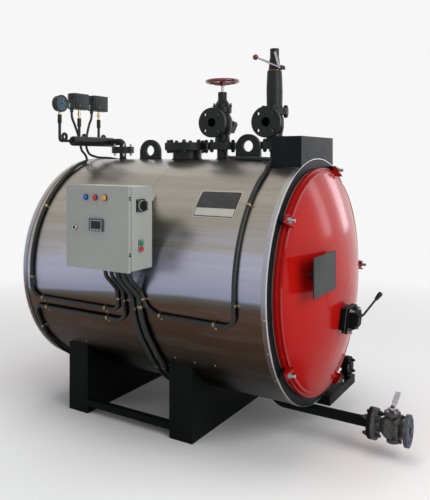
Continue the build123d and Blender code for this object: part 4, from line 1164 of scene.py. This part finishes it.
def makeStage():
    look = {"half": 30.0, "colour": (0.86, 0.86, 0.86, 1.0), "fade": (1.4, 4.4),
            "sky": (0.93, 0.93, 0.93, 1.0), "air": (0.96, 0.98, 1.0, 1.0), "airStrength": 0.42}
    mesh = bpy.data.meshes.new("studioFloor")
    h = look["half"]
    mesh.from_pydata([(-h, -h, 0), (h, -h, 0), (h, h, 0), (-h, h, 0)], [], [(0, 1, 2, 3)])
    floor = bpy.data.objects.new("studioFloor", mesh)
    scene.collection.objects.link(floor)
    made = Finish("floorPaint", colour=look["colour"], roughness=0.9, specular=0.1)
    away = (made.x * made.x + made.y * made.y) ** 0.5
    fade = made.spread(away, 0.0, 1.0, *look["fade"])
    glow = made.node("ShaderNodeEmission", None, {"Color": look["sky"]})
    blend = made.node("ShaderNodeMixShader", None, {0: fade * made.seenPlainly(), 1: made.shader, 2: glow})
    made.node("ShaderNodeOutputMaterial", {"is_active_output": True}, {"Surface": blend})
    mesh.materials.append(made.material)

    world = bpy.data.worlds.new("studioWorld")
    scene.world = world
    world.use_nodes = True
    world.node_tree.nodes.clear()
    air = Graph(world.node_tree)
    lit = air.node("ShaderNodeBackground", None, {"Color": look["air"], "Strength": look["airStrength"]})
    shown = air.node("ShaderNodeBackground", None, {"Color": look["sky"], "Strength": 1.0})
    both = air.node("ShaderNodeMixShader", None, {0: air.seenPlainly(), 1: lit, 2: shown})
    air.node("ShaderNodeOutputWorld", None, {"Surface": both})


def makeLights():
    lamps = {
        "rearSoftbox": {"at": (4.2, -1.2, 2.6), "aim": (0.3, 0.0, 0.8), "size": (3.2, 3.0), "watts": 120.0,
                        "tint": (1.0, 0.98, 0.96), "mirrored": True},
        "rearWindow": {"at": (1.8, 5.5, 2.3), "aim": (0.6, 0.0, 1.0), "size": (0.9, 2.8), "watts": 24.0,
                       "tint": (0.97, 0.92, 1.0), "mirrored": True},
        "sideWindow": {"at": (3.8, 4.7, 2.4), "aim": (0.6, 0.0, 1.0), "size": (0.7, 2.4), "watts": 15.0,
                       "tint": (0.97, 0.93, 1.0), "mirrored": True},
        "overhead": {"at": (-0.2, -0.4, 4.4), "aim": (-0.2, 0.0, 1.0), "size": (3.0, 3.0), "watts": 90.0,
                     "tint": (1.0, 1.0, 1.0), "mirrored": False},
        "panelFill": {"at": (-2.9, -4.2, 2.4), "aim": (-0.3, 0.0, 0.9), "size": (2.4, 2.4), "watts": 20.0,
                      "tint": (0.97, 0.98, 1.0), "mirrored": False}}
    for name, lamp in lamps.items():
        data = bpy.data.lights.new(name, "AREA")
        data.shape = "RECTANGLE"
        data.size, data.size_y = lamp["size"]
        data.energy = lamp["watts"]
        data.color = lamp["tint"]
        made = bpy.data.objects.new(name, data)
        made.location = lamp["at"]
        made.visible_glossy = lamp["mirrored"]
        aim = Vector(lamp["aim"]) - Vector(lamp["at"])
        made.rotation_euler = aim.to_track_quat("-Z", "Y").to_euler()
        scene.collection.objects.link(made)


def makeCamera():
    view = {"at": (1.6982, -3.1095, 1.4187), "azimuth": 33.9, "lens": 45.09, "sensor": 36.0,
            "shiftX": 0.0956, "shiftY": -0.1827}
    data = bpy.data.cameras.new("photoCamera")
    data.sensor_width = view["sensor"]
    data.lens = view["lens"]
    data.shift_x = view["shiftX"]
    data.shift_y = view["shiftY"]
    camera = bpy.data.objects.new("photoCamera", data)
    camera.location = view["at"]
    camera.rotation_euler = (math.radians(90), 0, math.radians(view["azimuth"]))
    scene.collection.objects.link(camera)
    scene.camera = camera


print("stage: studio")
scene.view_settings.view_transform = "Standard"
makeStage()
makeLights()
makeCamera()
